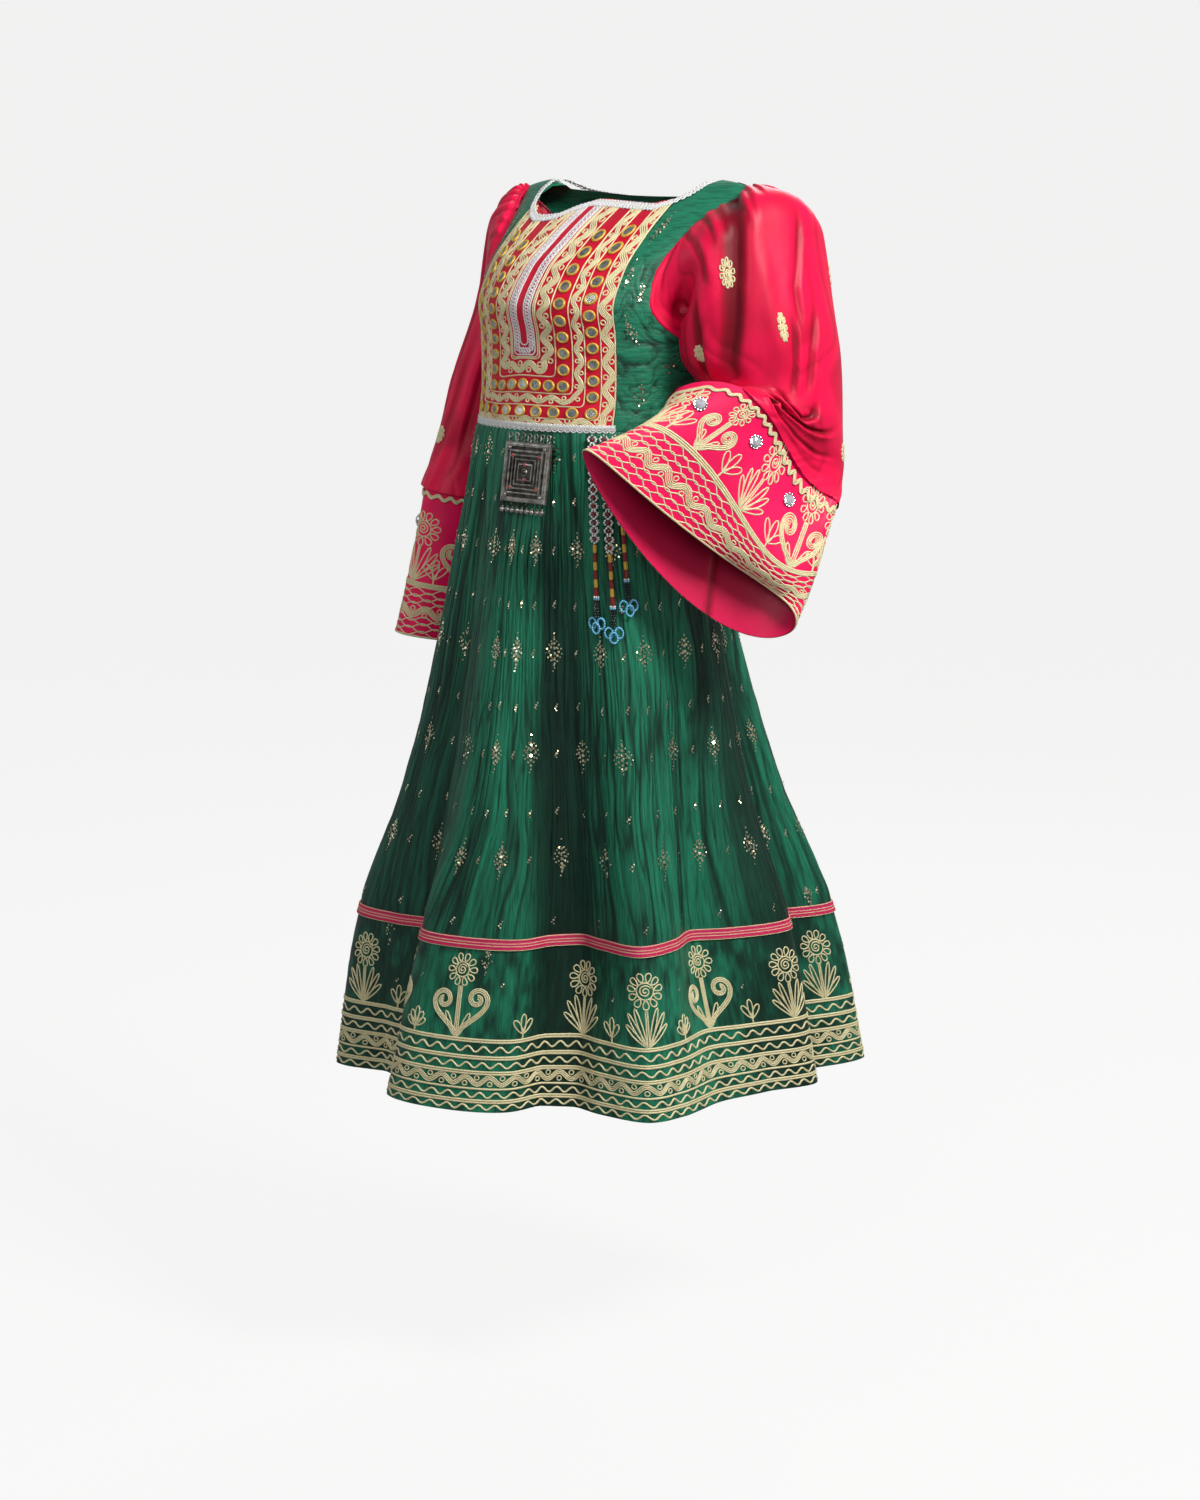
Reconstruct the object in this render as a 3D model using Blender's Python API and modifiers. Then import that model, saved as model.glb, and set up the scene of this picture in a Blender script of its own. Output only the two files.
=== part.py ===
"""Long Afghan dress in its worn shape: crinkled skirt, mirror bib, full sleeves, bell cuffs.

Units are metres, +Z is up, the wearer faces -Y and the wearer's left is +X.
The origin is midway between the shoulders, where the wearer's shoulders hold the dress.
"""
import math

import bmesh
import bpy
import numpy as np
from mathutils import Matrix, Vector
from mathutils.geometry import delaunay_2d_cdt

# Driving sizes
NAME = "afghan_dress"
WAIST_Z = -0.270
HEM_Z = -1.056
SEAM_GAP = 0.0003
CLOTH = 0.0016
SKIRT_CLOTH = 0.0012
CRINKLE_HIGH = 0.0017
CRINKLE_LOW = 0.0003
COLUMNS_PER_FOLD = 3
LINES_PER_COLUMN = 4
BRAID_Z = -0.857
BRAID_WIDTH = 0.014
BRAID_THICK = 0.0015
SHOULDER_DROP = 0.009
BIB_HALF_WIDTH = 0.109
BIB_HALF_ARC = 0.121
BIB_LENGTH = 0.300
MIRROR_RADIUS = 0.0080
MIRROR_TOP_RADIUS = 0.0062
MIRROR_HEIGHT = 0.0020
MIRROR_SIDES = 6
TRIM_WIDTH = 0.007
TRIM_THICK = 0.0013
SLEEVE_COLUMNS = 24
SLEEVE_SEAM = 0.0022
SLEEVE_CLEAR = 0.0075
CUFF_COLUMNS = 28
RICKRACK_WIDTH = 0.010
PLATE_HALF_WIDTH = 0.0360
PLATE_HEIGHT = 0.0680
PLATE_THICK = 0.0030
LINK_DROP = 0.0105
LINK_RADIUS = 0.0046
LINK_WIRE = 0.0011
BELL_RADIUS = 0.0034
BELLS = 9
LINKS = 6
CRYSTAL_RADIUS = 0.0070
CRYSTAL_HEIGHT = 0.0040

# Torso sections: height, half width, centre y, front depth, back depth
TORSO = np.array([
    [-0.300, 0.140, -0.082, 0.104, 0.104],
    [-0.270, 0.135, -0.080, 0.100, 0.100],
    [-0.235, 0.137, -0.070, 0.104, 0.100],
    [-0.200, 0.143, -0.055, 0.115, 0.104],
    [-0.165, 0.150, -0.035, 0.136, 0.105],
    [-0.130, 0.155, -0.020, 0.156, 0.102],
    [-0.095, 0.160, -0.010, 0.144, 0.095],
    [-0.060, 0.168, -0.003, 0.110, 0.080],
    [-0.030, 0.174, 0.002, 0.072, 0.058],
    [-0.012, 0.177, 0.005, 0.044, 0.038],
    [0.000, 0.178, 0.007, 0.022, 0.020],
    [0.006, 0.178, 0.008, 0.0003, 0.0003],
])

# Armhole edge: height, angle of the front edge and of the back edge from the side seam side
ARMHOLE = np.array([
    [-0.300, 90.0, 90.0],
    [-0.178, 90.0, 90.0],
    [-0.168, 78.0, 80.0],
    [-0.150, 66.0, 70.0],
    [-0.130, 60.0, 64.0],
    [-0.095, 57.0, 61.0],
    [-0.060, 58.0, 62.0],
    [-0.030, 63.0, 67.0],
    [-0.012, 72.0, 75.0],
    [0.000, 83.0, 83.0],
    [0.006, 88.0, 88.0],
])

# Neckline: x across the dress, height at the front, height at the back
NECKLINE = np.array([
    [-0.200, 0.006, 0.006],
    [-0.124, 0.006, 0.006],
    [-0.117, -0.012, 0.001],
    [-0.100, -0.027, -0.006],
    [-0.075, -0.035, -0.010],
    [-0.045, -0.034, -0.013],
    [-0.030, -0.027, -0.014],
    [0.000, -0.017, -0.015],
    [0.050, -0.019, -0.013],
    [0.090, -0.021, -0.009],
    [0.110, -0.015, -0.003],
    [0.118, -0.009, 0.001],
    [0.125, 0.006, 0.006],
    [0.200, 0.006, 0.006],
])

# Skirt levels: height, centre x, centre y
LEVELS = np.array([
    [-0.270, 0.000, -0.080],
    [-0.700, -0.015, -0.048],
    [-0.857, -0.020, -0.035],
    [-1.056, -0.025, -0.025],
])

# Large folds of the skirt, a row per ridge, flank or valley around the dress:
# angle and radius above the knee, at the braid and at the hem
FOLDS = np.array([
    [-90, 0.168, -90, 0.185, -90, 0.205],
    [-76, 0.186, -76, 0.215, -76, 0.245],
    [-61, 0.190, -61, 0.222, -61, 0.252],
    [-46, 0.222, -46, 0.285, -47, 0.322],
    [-35, 0.203, -34, 0.246, -38, 0.258],
    [-24, 0.176, -24, 0.212, -29, 0.247],
    [-3, 0.194, -12, 0.239, -18, 0.279],
    [7, 0.188, 2, 0.222, 0, 0.252],
    [17, 0.168, 18, 0.195, 15, 0.219],
    [26, 0.146, 25, 0.163, 22, 0.179],
    [37, 0.138, 38, 0.148, 34, 0.172],
    [48, 0.158, 48, 0.174, 46, 0.200],
    [59, 0.186, 59, 0.212, 60, 0.236],
    [70, 0.174, 70, 0.197, 70, 0.226],
    [85, 0.156, 84, 0.169, 88, 0.205],
    [100, 0.172, 99, 0.198, 106, 0.226],
    [115, 0.190, 116, 0.237, 119, 0.268],
    [125, 0.183, 126, 0.215, 128, 0.240],
    [137, 0.222, 137, 0.282, 141, 0.325],
    [151, 0.204, 151, 0.245, 153, 0.285],
    [163, 0.172, 164, 0.195, 165, 0.225],
    [178, 0.184, 179, 0.215, 180, 0.245],
    [193, 0.164, 193, 0.182, 194, 0.205],
    [210, 0.184, 211, 0.212, 210, 0.240],
    [227, 0.162, 228, 0.180, 227, 0.200],
    [244, 0.182, 244, 0.210, 244, 0.238],
    [257, 0.165, 257, 0.186, 257, 0.208],
], float)
SIDE_FOLD = 14
SKIRT_ROWS = [WAIST_Z - SEAM_GAP, -0.300, -0.370, -0.470, -0.590, -0.730, BRAID_Z, -0.955, HEM_Z]

# Rows of the bodice panels and of the bib, from the waist at 0 to the neck at 1
PANEL_ROWS = np.array([0.0, 0.12, 0.24, 0.335, 0.38, 0.45, 0.54, 0.64, 0.75, 0.84, 0.91, 0.965, 1.0])

# Bands of the bib, from the centre outwards: offset from the centre line, height above the seam
MIRROR_COLUMNS = [
    # offset, lowest, highest, count of a column, spaces of the bottom row, height of the row
    [0.0550, 0.0580, 0.255, 10, 6, 0.0580],
    [0.0920, 0.0230, 0.262, 12, 8, 0.0230],
]

# Sleeve sections: place along, centre x y z, vector to the outer side, vector to the front,
# lift of both corners towards the outer side, sweep of the outer side towards the front
LEFT_SLEEVE = np.array([
    [0.00, 0.180, -0.002, -0.088, 0.000, 0.004, 0.088, -0.020, -0.078, 0.000, 0.00, 0.00],
    [0.16, 0.190, -0.004, -0.092, 0.042, 0.004, 0.080, -0.012, -0.084, 0.004, 0.00, 0.00],
    [0.32, 0.194, -0.004, -0.132, 0.066, 0.008, 0.036, -0.004, -0.086, 0.004, 0.00, 0.00],
    [0.48, 0.200, 0.002, -0.185, 0.076, 0.008, 0.010, -0.002, -0.085, 0.006, 0.00, 0.00],
    [0.64, 0.210, 0.008, -0.232, 0.072, 0.004, -0.004, -0.002, -0.078, 0.022, 0.00, 0.00],
    [0.80, 0.224, 0.004, -0.270, 0.060, 0.000, 0.004, -0.014, -0.074, 0.048, 0.04, 0.10],
    [0.91, 0.230, -0.020, -0.284, 0.044, 0.004, 0.014, -0.034, -0.073, 0.058, 0.14, 0.36],
    [1.00, 0.233, -0.048, -0.291, 0.034, 0.010, 0.018, -0.049, -0.073, 0.064, 0.25, 0.66],
])
RIGHT_SLEEVE = np.array([
    [0.00, -0.180, -0.002, -0.088, 0.000, 0.004, 0.088, 0.020, -0.078, 0.000, 0.00, 0.00],
    [0.16, -0.184, 0.014, -0.092, -0.026, 0.004, 0.076, 0.010, -0.070, 0.000, 0.00, 0.00],
    [0.34, -0.194, 0.028, -0.145, -0.048, 0.000, 0.028, 0.004, -0.072, 0.000, 0.00, 0.00],
    [0.58, -0.222, 0.018, -0.240, -0.050, 0.000, 0.006, 0.000, -0.080, 0.000, 0.00, 0.00],
    [0.78, -0.232, 0.006, -0.305, -0.047, 0.000, 0.006, 0.000, -0.085, 0.004, 0.00, 0.00],
    [1.00, -0.238, -0.014, -0.372, -0.044, 0.000, 0.008, 0.000, -0.088, 0.008, 0.00, 0.00],
])
# Stones of the cuffs: places round and along
CRYSTAL_PLACES = {
    "left": ((0.15, 0.22), (0.03, 0.17), (0.92, 0.16)),
    "right": ((0.16, 0.24), (0.44, 0.24), (0.80, 0.24)),
}
# Pendant: hinge line at the link tops, and its lean along the skirt
PENDANT_X = 0.024
PENDANT_Y = -0.1851
PENDANT_Z = -0.2740
PENDANT_TILT = 9.0
# Nested frames of the pendant: width of each step and its rise
PLATE_STEPS = [
    (0.0012, 0.0), (0.0005, 0.0014), (0.0040, 0.0), (0.0006, -0.0011), (0.0030, 0.0),
    (0.0006, 0.0015), (0.0045, 0.0), (0.0006, -0.0013), (0.0060, 0.0), (0.0012, 0.0020), (0.0030, 0.0006),
]
# Bead strands: place in the fold table and spread along it
STRAND_FOLD = 11.8
STRAND_SPREAD = 1.5
STRAND_LIFT = 0.0082
# Cuff rims, as the sleeve sections, and then the belly of the cloth over one corner: its place
# around and its spread, its offset half way to the rim, and its offset at the rim
LEFT_CUFF_RIM = np.array([
    0.217, -0.121, -0.417, 0.012, -0.019, 0.045, -0.070, -0.096, 0.092, 0.87, -0.065,
    0.89, 0.11, 0.0073, -0.0271, -0.0197, -0.0208, 0.0208, -0.0058,
])
RIGHT_CUFF_RIM = np.array([
    -0.250, -0.012, -0.552, -0.050, 0.000, 0.006, 0.000, -0.130, 0.016, 0.0, 0.0,
    0.50, 0.10, 0.0, 0.0, 0.0, 0.0, 0.0, 0.0,
])
CUFF_START = {"left": 0.005, "right": 0.0025}
CUFF_ROW = 0.34
RICKRACK_RISE = {"left": 0.0017, "right": 0.0007}
CUFFS = [("left", LEFT_SLEEVE, LEFT_CUFF_RIM, 1), ("right", RIGHT_SLEEVE, RIGHT_CUFF_RIM, -1)]

# Looks: base colour, roughness, metal
LOOKS = {
    "green_taffeta": ((0.035, 0.150, 0.105, 1.0), 0.42, 0.0),
    "red_satin": ((0.620, 0.012, 0.070, 1.0), 0.34, 0.0),
    "white_trim": ((0.850, 0.850, 0.820, 1.0), 0.75, 0.0),
    "pink_braid": ((0.640, 0.090, 0.260, 1.0), 0.60, 0.0),
    "gold_braid": ((0.720, 0.560, 0.240, 1.0), 0.35, 0.6),
    "silver_metal": ((0.560, 0.550, 0.520, 1.0), 0.38, 1.0),
    "glass_bead": ((0.480, 0.060, 0.070, 1.0), 0.20, 0.0),
    "crystal": ((0.820, 0.850, 0.900, 1.0), 0.08, 0.0),
}


def clear_scene():
    for item in list(bpy.data.objects):
        bpy.data.objects.remove(item, do_unlink=True)
    for group in list(bpy.data.collections):
        bpy.data.collections.remove(group)


def make_collection(title):
    group = bpy.data.collections.new(title)
    bpy.context.scene.collection.children.link(group)
    return group


def finish(title, look):
    colour, rough, metal = LOOKS[look]
    item = bpy.data.materials.new(title + "_" + look)
    item.use_nodes = True
    shader = item.node_tree.nodes["Principled BSDF"]
    shader.inputs["Base Color"].default_value = colour
    shader.inputs["Roughness"].default_value = rough
    shader.inputs["Metallic"].default_value = metal
    item.diffuse_color = colour
    return item


def shade_smooth(mesh):
    """Smooth shading with the real corners kept sharp."""
    for face in mesh.polygons:
        face.use_smooth = True
    mesh.set_sharp_from_angle(angle=math.radians(40))


def solid(title, points, faces, look):
    """Link one closed body with outward faces."""
    mesh = bpy.data.meshes.new(title)
    mesh.from_pydata([tuple(p) for p in points], [], faces)
    shape = bmesh.new()
    shape.from_mesh(mesh)
    bmesh.ops.recalc_face_normals(shape, faces=shape.faces)
    bmesh.ops.triangulate(shape, faces=shape.faces, quad_method="SHORT_EDGE")
    shape.to_mesh(mesh)
    shape.free()
    shade_smooth(mesh)
    mesh.materials.append(finish(title, look))
    item = bpy.data.objects.new(title, mesh)
    GROUP.objects.link(item)
    return item


def smooth(xs, ys, x):
    """Smooth curve through a table, level at its peaks and valleys."""
    xs = np.asarray(xs, float)
    ys = np.asarray(ys, float)
    step = np.diff(xs)
    slope = np.diff(ys) / step
    before, after = slope[:-1], slope[1:]
    same = before * after > 0
    total = np.where(same, before + after, 1.0)
    middle = np.where(same, 2.0 * before * after / total, 0.0)
    tangent = np.concatenate([slope[:1], middle, slope[-1:]])
    x = np.clip(np.asarray(x, float), xs[0], xs[-1])
    k = np.clip(np.searchsorted(xs, x, side="right") - 1, 0, len(xs) - 2)
    t = (x - xs[k]) / step[k]
    rise = (2 * t ** 3 - 3 * t ** 2 + 1) * ys[k] + (3 * t ** 2 - 2 * t ** 3) * ys[k + 1]
    lean = (t ** 3 - 2 * t ** 2 + t) * tangent[k] + (t ** 3 - t ** 2) * tangent[k + 1]
    return rise + lean * step[k]


def unit(v):
    return v / np.maximum(np.linalg.norm(v, axis=-1, keepdims=True), 1e-9)


def normals(surface, a, b, step_a, step_b):
    """Unit normals of a surface function by small steps both ways."""
    along = surface(a + step_a, b) - surface(a - step_a, b)
    up = surface(a, b + step_b) - surface(a, b - step_b)
    return unit(np.cross(along, up))


def zipper(first, second, wrap):
    """Triangles between two rows of corners that share their ends."""
    n, m = len(first), len(second)
    last_n = n if wrap else n - 1
    last_m = m if wrap else m - 1
    faces = []
    i = j = 0
    while i < last_n or j < last_m:
        if j == last_m or (i < last_n and (i + 1) / last_n <= (j + 1) / last_m):
            faces.append((first[i % n], first[(i + 1) % n], second[j % m]))
            i += 1
        else:
            faces.append((first[i % n], second[(j + 1) % m], second[j % m]))
            j += 1
    return faces


def grid_faces(start, rows, columns, wrap, turned):
    faces = []
    for r in range(rows - 1):
        for c in range(columns if wrap else columns - 1):
            d = (c + 1) % columns
            low, high = start + r * columns, start + (r + 1) * columns
            quad = (low + c, low + d, high + d, high + c)
            faces.append(quad[::-1] if turned else quad)
    return faces


def wall(title, outer, inner, look, wrap=False):
    """Closed cloth wall between an outer and an inner grid with the same rows."""
    rows, wide = outer.shape[:2]
    narrow = inner.shape[1]
    start = rows * wide
    faces = grid_faces(0, rows, wide, wrap, False)
    faces += grid_faces(start, rows, narrow, wrap, True)
    for r in (0, rows - 1):
        top = [r * wide + c for c in range(wide)]
        low = [start + r * narrow + c for c in range(narrow)]
        strip = zipper(top, low, wrap)
        faces += [f[::-1] for f in strip] if r == 0 else strip
    if not wrap:
        for c, d in ((0, 0), (wide - 1, narrow - 1)):
            for r in range(rows - 1):
                a, b = r * wide + c, (r + 1) * wide + c
                p, q = start + r * narrow + d, start + (r + 1) * narrow + d
                faces.append((a, b, q, p) if c == 0 else (a, p, q, b))
    points = np.concatenate([outer.reshape(-1, 3), inner.reshape(-1, 3)])
    return solid(title, points, faces, look)


def band(title, grid, thickness, look, wrap=False, turned=False):
    """Narrow band lying on the cloth: an open strip thickened outwards."""
    rows, columns = grid.shape[:2]
    mesh = bpy.data.meshes.new(title)
    faces = grid_faces(0, rows, columns, wrap, turned)
    mesh.from_pydata([tuple(p) for p in grid.reshape(-1, 3)], [], faces)
    mesh.materials.append(finish(title, look))
    item = bpy.data.objects.new(title, mesh)
    GROUP.objects.link(item)
    thick = item.modifiers.new("thickness", "SOLIDIFY")
    thick.thickness = thickness
    thick.offset = 1.0
    return item


def crinkled(plain, out, lift, share):
    """Fine rows over a coarse grid: its straight steps, moved out by lift at each line."""
    rows, columns = plain.shape[:2]
    spots = share.shape[1]
    place = np.clip(share, 0, columns - 1)
    k = np.minimum(place.astype(int), columns - 2)
    t = (place - k)[..., None]
    line = np.arange(rows)[:, None]
    base = plain[line, k] * (1 - t) + plain[line, k + 1] * t
    way = unit(out[line, k] * (1 - t) + out[line, k + 1] * t)
    return base + way * lift.reshape(rows, spots, 1)


# Torso
def torso_point(angle, z, side):
    """Point of the torso at an angle from the middle; side is -1 in front and 1 behind."""
    half = smooth(TORSO[:, 0], TORSO[:, 1], z)
    middle = smooth(TORSO[:, 0], TORSO[:, 2], z)
    depth = smooth(TORSO[:, 0], TORSO[:, 3 if side < 0 else 4], z)
    x = half * np.sin(angle)
    fullness = 1.0 if side > 0 else 1.0 - 0.16 * np.clip((z + 0.25) / 0.07, 0, 1)
    y = middle + side * (SEAM_GAP + depth * np.maximum(np.cos(angle), 0) ** fullness)
    out = np.clip((np.abs(x) - 0.112) / 0.066, 0, 1)
    drop = SHOULDER_DROP * out * out * np.clip((z + 0.10) / 0.10, 0, 1)
    return np.stack([x, y, z - drop], -1)


def torso_half_width(y, z):
    """Half width of the torso where it passes a given y, zero in front of and behind it."""
    half = smooth(TORSO[:, 0], TORSO[:, 1], z)
    middle = smooth(TORSO[:, 0], TORSO[:, 2], z)
    front = smooth(TORSO[:, 0], TORSO[:, 3], z)
    back = smooth(TORSO[:, 0], TORSO[:, 4], z)
    depth = np.where(y < middle, front, back)
    share = np.clip(np.abs(y - middle) / np.maximum(depth, 1e-4), 0, 1)
    return half * np.sqrt(1 - share ** 2.3)


def edge_angle(z, side):
    return np.radians(smooth(ARMHOLE[:, 0], ARMHOLE[:, 1 if side < 0 else 2], z))


def bib_angle(z):
    half = smooth(TORSO[:, 0], TORSO[:, 1], z)
    return np.arcsin(np.minimum(BIB_HALF_WIDTH / half, 0.999))


def top_height(x, side):
    return smooth(NECKLINE[:, 0], NECKLINE[:, 1 if side < 0 else 2], x)


def panel_height(v, x, side):
    """Height of the row v of a panel, 0 at the waist and 1 at the neck or the shoulder."""
    return WAIST_Z + v * (top_height(x, side) - WAIST_Z)


def side_panel(hand):
    """Front panel beside the bib: a runs from the bib edge to the armhole, v upwards."""
    def surface(a, v):
        x = hand * (BIB_HALF_WIDTH + a * 0.066)
        z = panel_height(v, x, -1)
        start = bib_angle(z)
        angle = start + (edge_angle(z, -1) - start) * a
        return torso_point(hand * angle, z, -1)
    return surface


def back_panel(a, v):
    """Back panel: a runs from the wearer's right at -1 to the left at 1."""
    z = panel_height(v, 0.175 * a, 1)
    return torso_point(a * edge_angle(z, 1), z, 1)


def bib(s, t):
    """Bib by its arc across, s, and its height t as a share of the way to the neckline."""
    z = panel_height(t, BIB_HALF_WIDTH * np.sin(s / BIB_HALF_ARC * 1.30) / math.sin(1.30), -1)
    return torso_point(s / BIB_HALF_ARC * bib_angle(z), z, -1)


def panel(title, surface, across, rows, turned):
    """Bodice panel of even thickness; the cloth lies level along the shoulder seam."""
    a, b = np.meshgrid(across, rows)
    points = surface(a, b)
    out = turned * normals(surface, a, b, 0.004, 0.004)
    level = top_height(points[-1, :, 0], -1) > 0.003
    out[-1, level] = (0.0, 0.0, 1.0)
    wall(title, points + out * CLOTH / 2, points - out * CLOTH / 2, "green_taffeta")


def make_bodice():
    rows = PANEL_ROWS.copy()
    rows[0] = 0.001
    across = np.array([0.006, 0.12, 0.28, 0.48, 0.70, 0.88, 0.999])
    panel("bodice_front_left", side_panel(1), across, rows, 1)
    panel("bodice_front_right", side_panel(-1), across, rows, -1)
    across = np.array([-0.998, -0.9, -0.78, -0.71, -0.66, -0.5, -0.3, -0.1])
    across = np.concatenate([across, -across[::-1]])
    panel("bodice_back", back_panel, across, rows, -1)


def mirror_places():
    """Centres of the round mirrors on the bib as arc across and length upwards."""
    places = []
    for offset, low, high, count, spaces, row in MIRROR_COLUMNS:
        for k in range(count):
            t = low + (high - low) * k / (count - 1)
            places += [(-offset, t), (offset, t)]
        for k in range(1, spaces):
            places.append((-offset + 2 * offset * k / spaces, row))
    return places


def make_bib():
    """Bib wall: an outer face with raised round mirrors over a plain inside."""
    edge = BIB_HALF_ARC - 0.0002
    foot, head = 0.001 * BIB_LENGTH, BIB_LENGTH
    across = np.linspace(-edge, edge, 17)
    upward = PANEL_ROWS * BIB_LENGTH
    upward[0] = foot
    border = [(s, foot) for s in across]
    border += [(edge, t) for t in upward[1:]]
    border += [(s, head) for s in across[::-1][1:]]
    border += [(-edge, t) for t in upward[::-1][1:-1]]
    flat = [Vector(p) for p in border]
    lift = [0.0] * len(border)
    edges = [(k, (k + 1) % len(border)) for k in range(len(border))]
    turn = 2 * math.pi / MIRROR_SIDES
    for s, t in mirror_places():
        for radius, height in ((MIRROR_RADIUS, 0.0), (MIRROR_TOP_RADIUS, MIRROR_HEIGHT)):
            start = len(flat)
            for k in range(MIRROR_SIDES):
                angle = (k + 0.5) * turn
                flat.append(Vector((s + radius * math.cos(angle), t + radius * math.sin(angle))))
                lift.append(height)
                edges.append((start + k, start + (k + 1) % MIRROR_SIDES))
    for t in (0.100, 0.140, 0.180, 0.220, 0.260):
        for s in (-0.030, 0.0, 0.030):
            flat.append(Vector((s, t)))
            lift.append(0.0)
    result = delaunay_2d_cdt(flat, edges, [], 1, 1e-7)
    spots = np.array([tuple(p) for p in result[0]])
    heights = np.array([lift[k[0]] for k in result[3]])
    faces = [tuple(f) for f in result[2]]
    place = {}
    for new, olds in enumerate(result[3]):
        for old in olds:
            place[old] = new
    share = spots[:, 1] / BIB_LENGTH
    out = normals(bib, spots[:, 0], share, 0.002, 0.01)
    outer = bib(spots[:, 0], share) + out * (0.0008 + heights[:, None])
    n = len(outer)
    s, t = np.meshgrid(across, upward / BIB_LENGTH)
    inner = bib(s, t) - normals(bib, s, t, 0.002, 0.01) * 0.0008
    rows, columns = s.shape
    index = np.arange(rows * columns).reshape(rows, columns) + n
    faces += [f[::-1] for f in grid_faces(n, rows, columns, False, False)]
    loop = list(index[0]) + list(index[1:, -1]) + list(index[-1, ::-1][1:]) + list(index[::-1, 0][1:-1])
    for k in range(len(border)):
        d = (k + 1) % len(border)
        faces.append((place[k], int(loop[k]), int(loop[d]), place[d]))
    points = np.concatenate([outer, inner.reshape(-1, 3)])
    solid("bib", points, faces, "red_satin")


# Skirt
def waist_radius(angle):
    return 1.0 / np.sqrt((np.sin(angle) / 0.135) ** 2 + (np.cos(angle) / 0.100) ** 2)


def skirt(a, z):
    """Plain skirt: a counts the rows of the fold table around the dress, z is the height."""
    count = len(FOLDS)
    marks = np.arange(-2, count + 3)
    turns = np.where(marks < 0, -360.0, np.where(marks >= count, 360.0, 0.0))
    rows = FOLDS[marks % count]
    whole = np.floor(a / count)
    a = a - whole * count
    angles = [np.radians(smooth(marks, rows[:, c] + turns, a)) for c in (0, 0, 2, 4)]
    radii = [waist_radius(angles[0])] + [smooth(marks, rows[:, c], a) for c in (1, 3, 5)]
    angle = blend(z, angles)
    radius = blend(z, radii)
    heights = LEVELS[::-1, 0]
    cx = smooth(heights, LEVELS[::-1, 1], z)
    cy = smooth(heights, LEVELS[::-1, 2], z)
    x = cx + radius * np.sin(angle)
    y = cy - radius * np.cos(angle)
    return np.stack([x, y, z + 0 * x], -1)


def blend(z, values):
    """Smooth change of a value from level to level of the skirt."""
    z = np.asarray(z, float) + 0 * values[0]
    h = LEVELS[:, 0]
    v = [np.asarray(item, float) + 0 * z for item in values]
    slope = [(v[k + 1] - v[k]) / (h[k + 1] - h[k]) for k in range(3)]
    tangent = [slope[0], 0.5 * (slope[0] + slope[1]), 0.5 * (slope[1] + slope[2]), slope[2]]
    total = 0 * z
    for k in range(3):
        step = h[k + 1] - h[k]
        t = (z - h[k]) / step
        if k == 0:
            inside = t < 1
        elif k == 2:
            inside = t >= 0
        else:
            inside = (t >= 0) & (t < 1)
        part = (2 * t ** 3 - 3 * t ** 2 + 1) * v[k] + (3 * t ** 2 - 2 * t ** 3) * v[k + 1]
        part += (t ** 3 - 2 * t ** 2 + t) * step * tangent[k] + (t ** 3 - t ** 2) * step * tangent[k + 1]
        line = v[k] + t * step * tangent[k] if k == 0 else v[k + 1] + (t - 1) * step * tangent[k + 1]
        part = np.where((t < 0) | (t > 1), line, part)
        total = total + np.where(inside, part, 0)
    return total


def crinkle(line, row, rows):
    """Height of a crinkle line above the plain cloth, uneven from line to line."""
    wave = 0.5 + 0.5 * math.sin(line * 2.17 + row * 0.9) * math.cos(line * 0.61 - row * 0.5)
    high = CRINKLE_HIGH * (0.62 + 0.38 * wave)
    return high if line % 2 else CRINKLE_LOW * wave


def make_skirt():
    rows = np.array(SKIRT_ROWS)
    for title, first, last in (("skirt_front", 0, SIDE_FOLD), ("skirt_back", SIDE_FOLD, len(FOLDS))):
        columns = (last - first) * COLUMNS_PER_FOLD + 1
        a, z = np.meshgrid(np.linspace(first, last, columns), rows)
        plain = skirt(a, z)
        out = normals(skirt, a, z, 0.05, 0.004)
        along = unit(skirt(a + 0.05, z) - skirt(a - 0.05, z))
        plain[:, 0] += along[:, 0] * SEAM_GAP * 0.5
        plain[:, -1] -= along[:, -1] * SEAM_GAP * 0.5
        lines = (columns - 1) * LINES_PER_COLUMN + 1
        share = np.tile(np.linspace(0, columns - 1, lines), (len(rows), 1))
        lift = np.zeros(share.shape)
        for r in range(len(rows)):
            for c in range(lines):
                lift[r, c] = SKIRT_CLOTH + crinkle(c, r, len(rows))
                if 0 < c < lines - 1:
                    share[r, c] += 0.05 * math.sin(c * 1.3 + r * 1.1)
        wall(title, crinkled(plain, out, lift, share), plain, "green_taffeta")


def make_braid():
    """Braid around the skirt, made from the skirt's own columns and moved out."""
    columns = len(FOLDS) * COLUMNS_PER_FOLD
    heights = np.array([BRAID_Z - BRAID_WIDTH / 2, BRAID_Z + BRAID_WIDTH / 2])
    a, z = np.meshgrid(np.arange(columns) / COLUMNS_PER_FOLD, heights)
    plain = skirt(a, z)
    out = normals(skirt, a, z, 0.05, 0.004)
    near = SKIRT_CLOTH + CRINKLE_HIGH + 2 * SEAM_GAP
    band("skirt_braid", plain + out * near, BRAID_THICK, "pink_braid", True)


# Sleeves
def armhole(turn, hand):
    """Armhole edge: turn runs from the shoulder at 0 down the front to 0.5 and up the back."""
    down = np.where(turn < 0.5, turn * 2, 2 - turn * 2)
    z = 0.006 - 0.184 * 0.5 * (1 - np.cos(np.pi * down))
    front = torso_point(hand * edge_angle(z, -1), z, -1)
    back = torso_point(hand * edge_angle(z, 1), z, 1)
    return np.where((turn < 0.5)[..., None], front, back)


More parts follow.
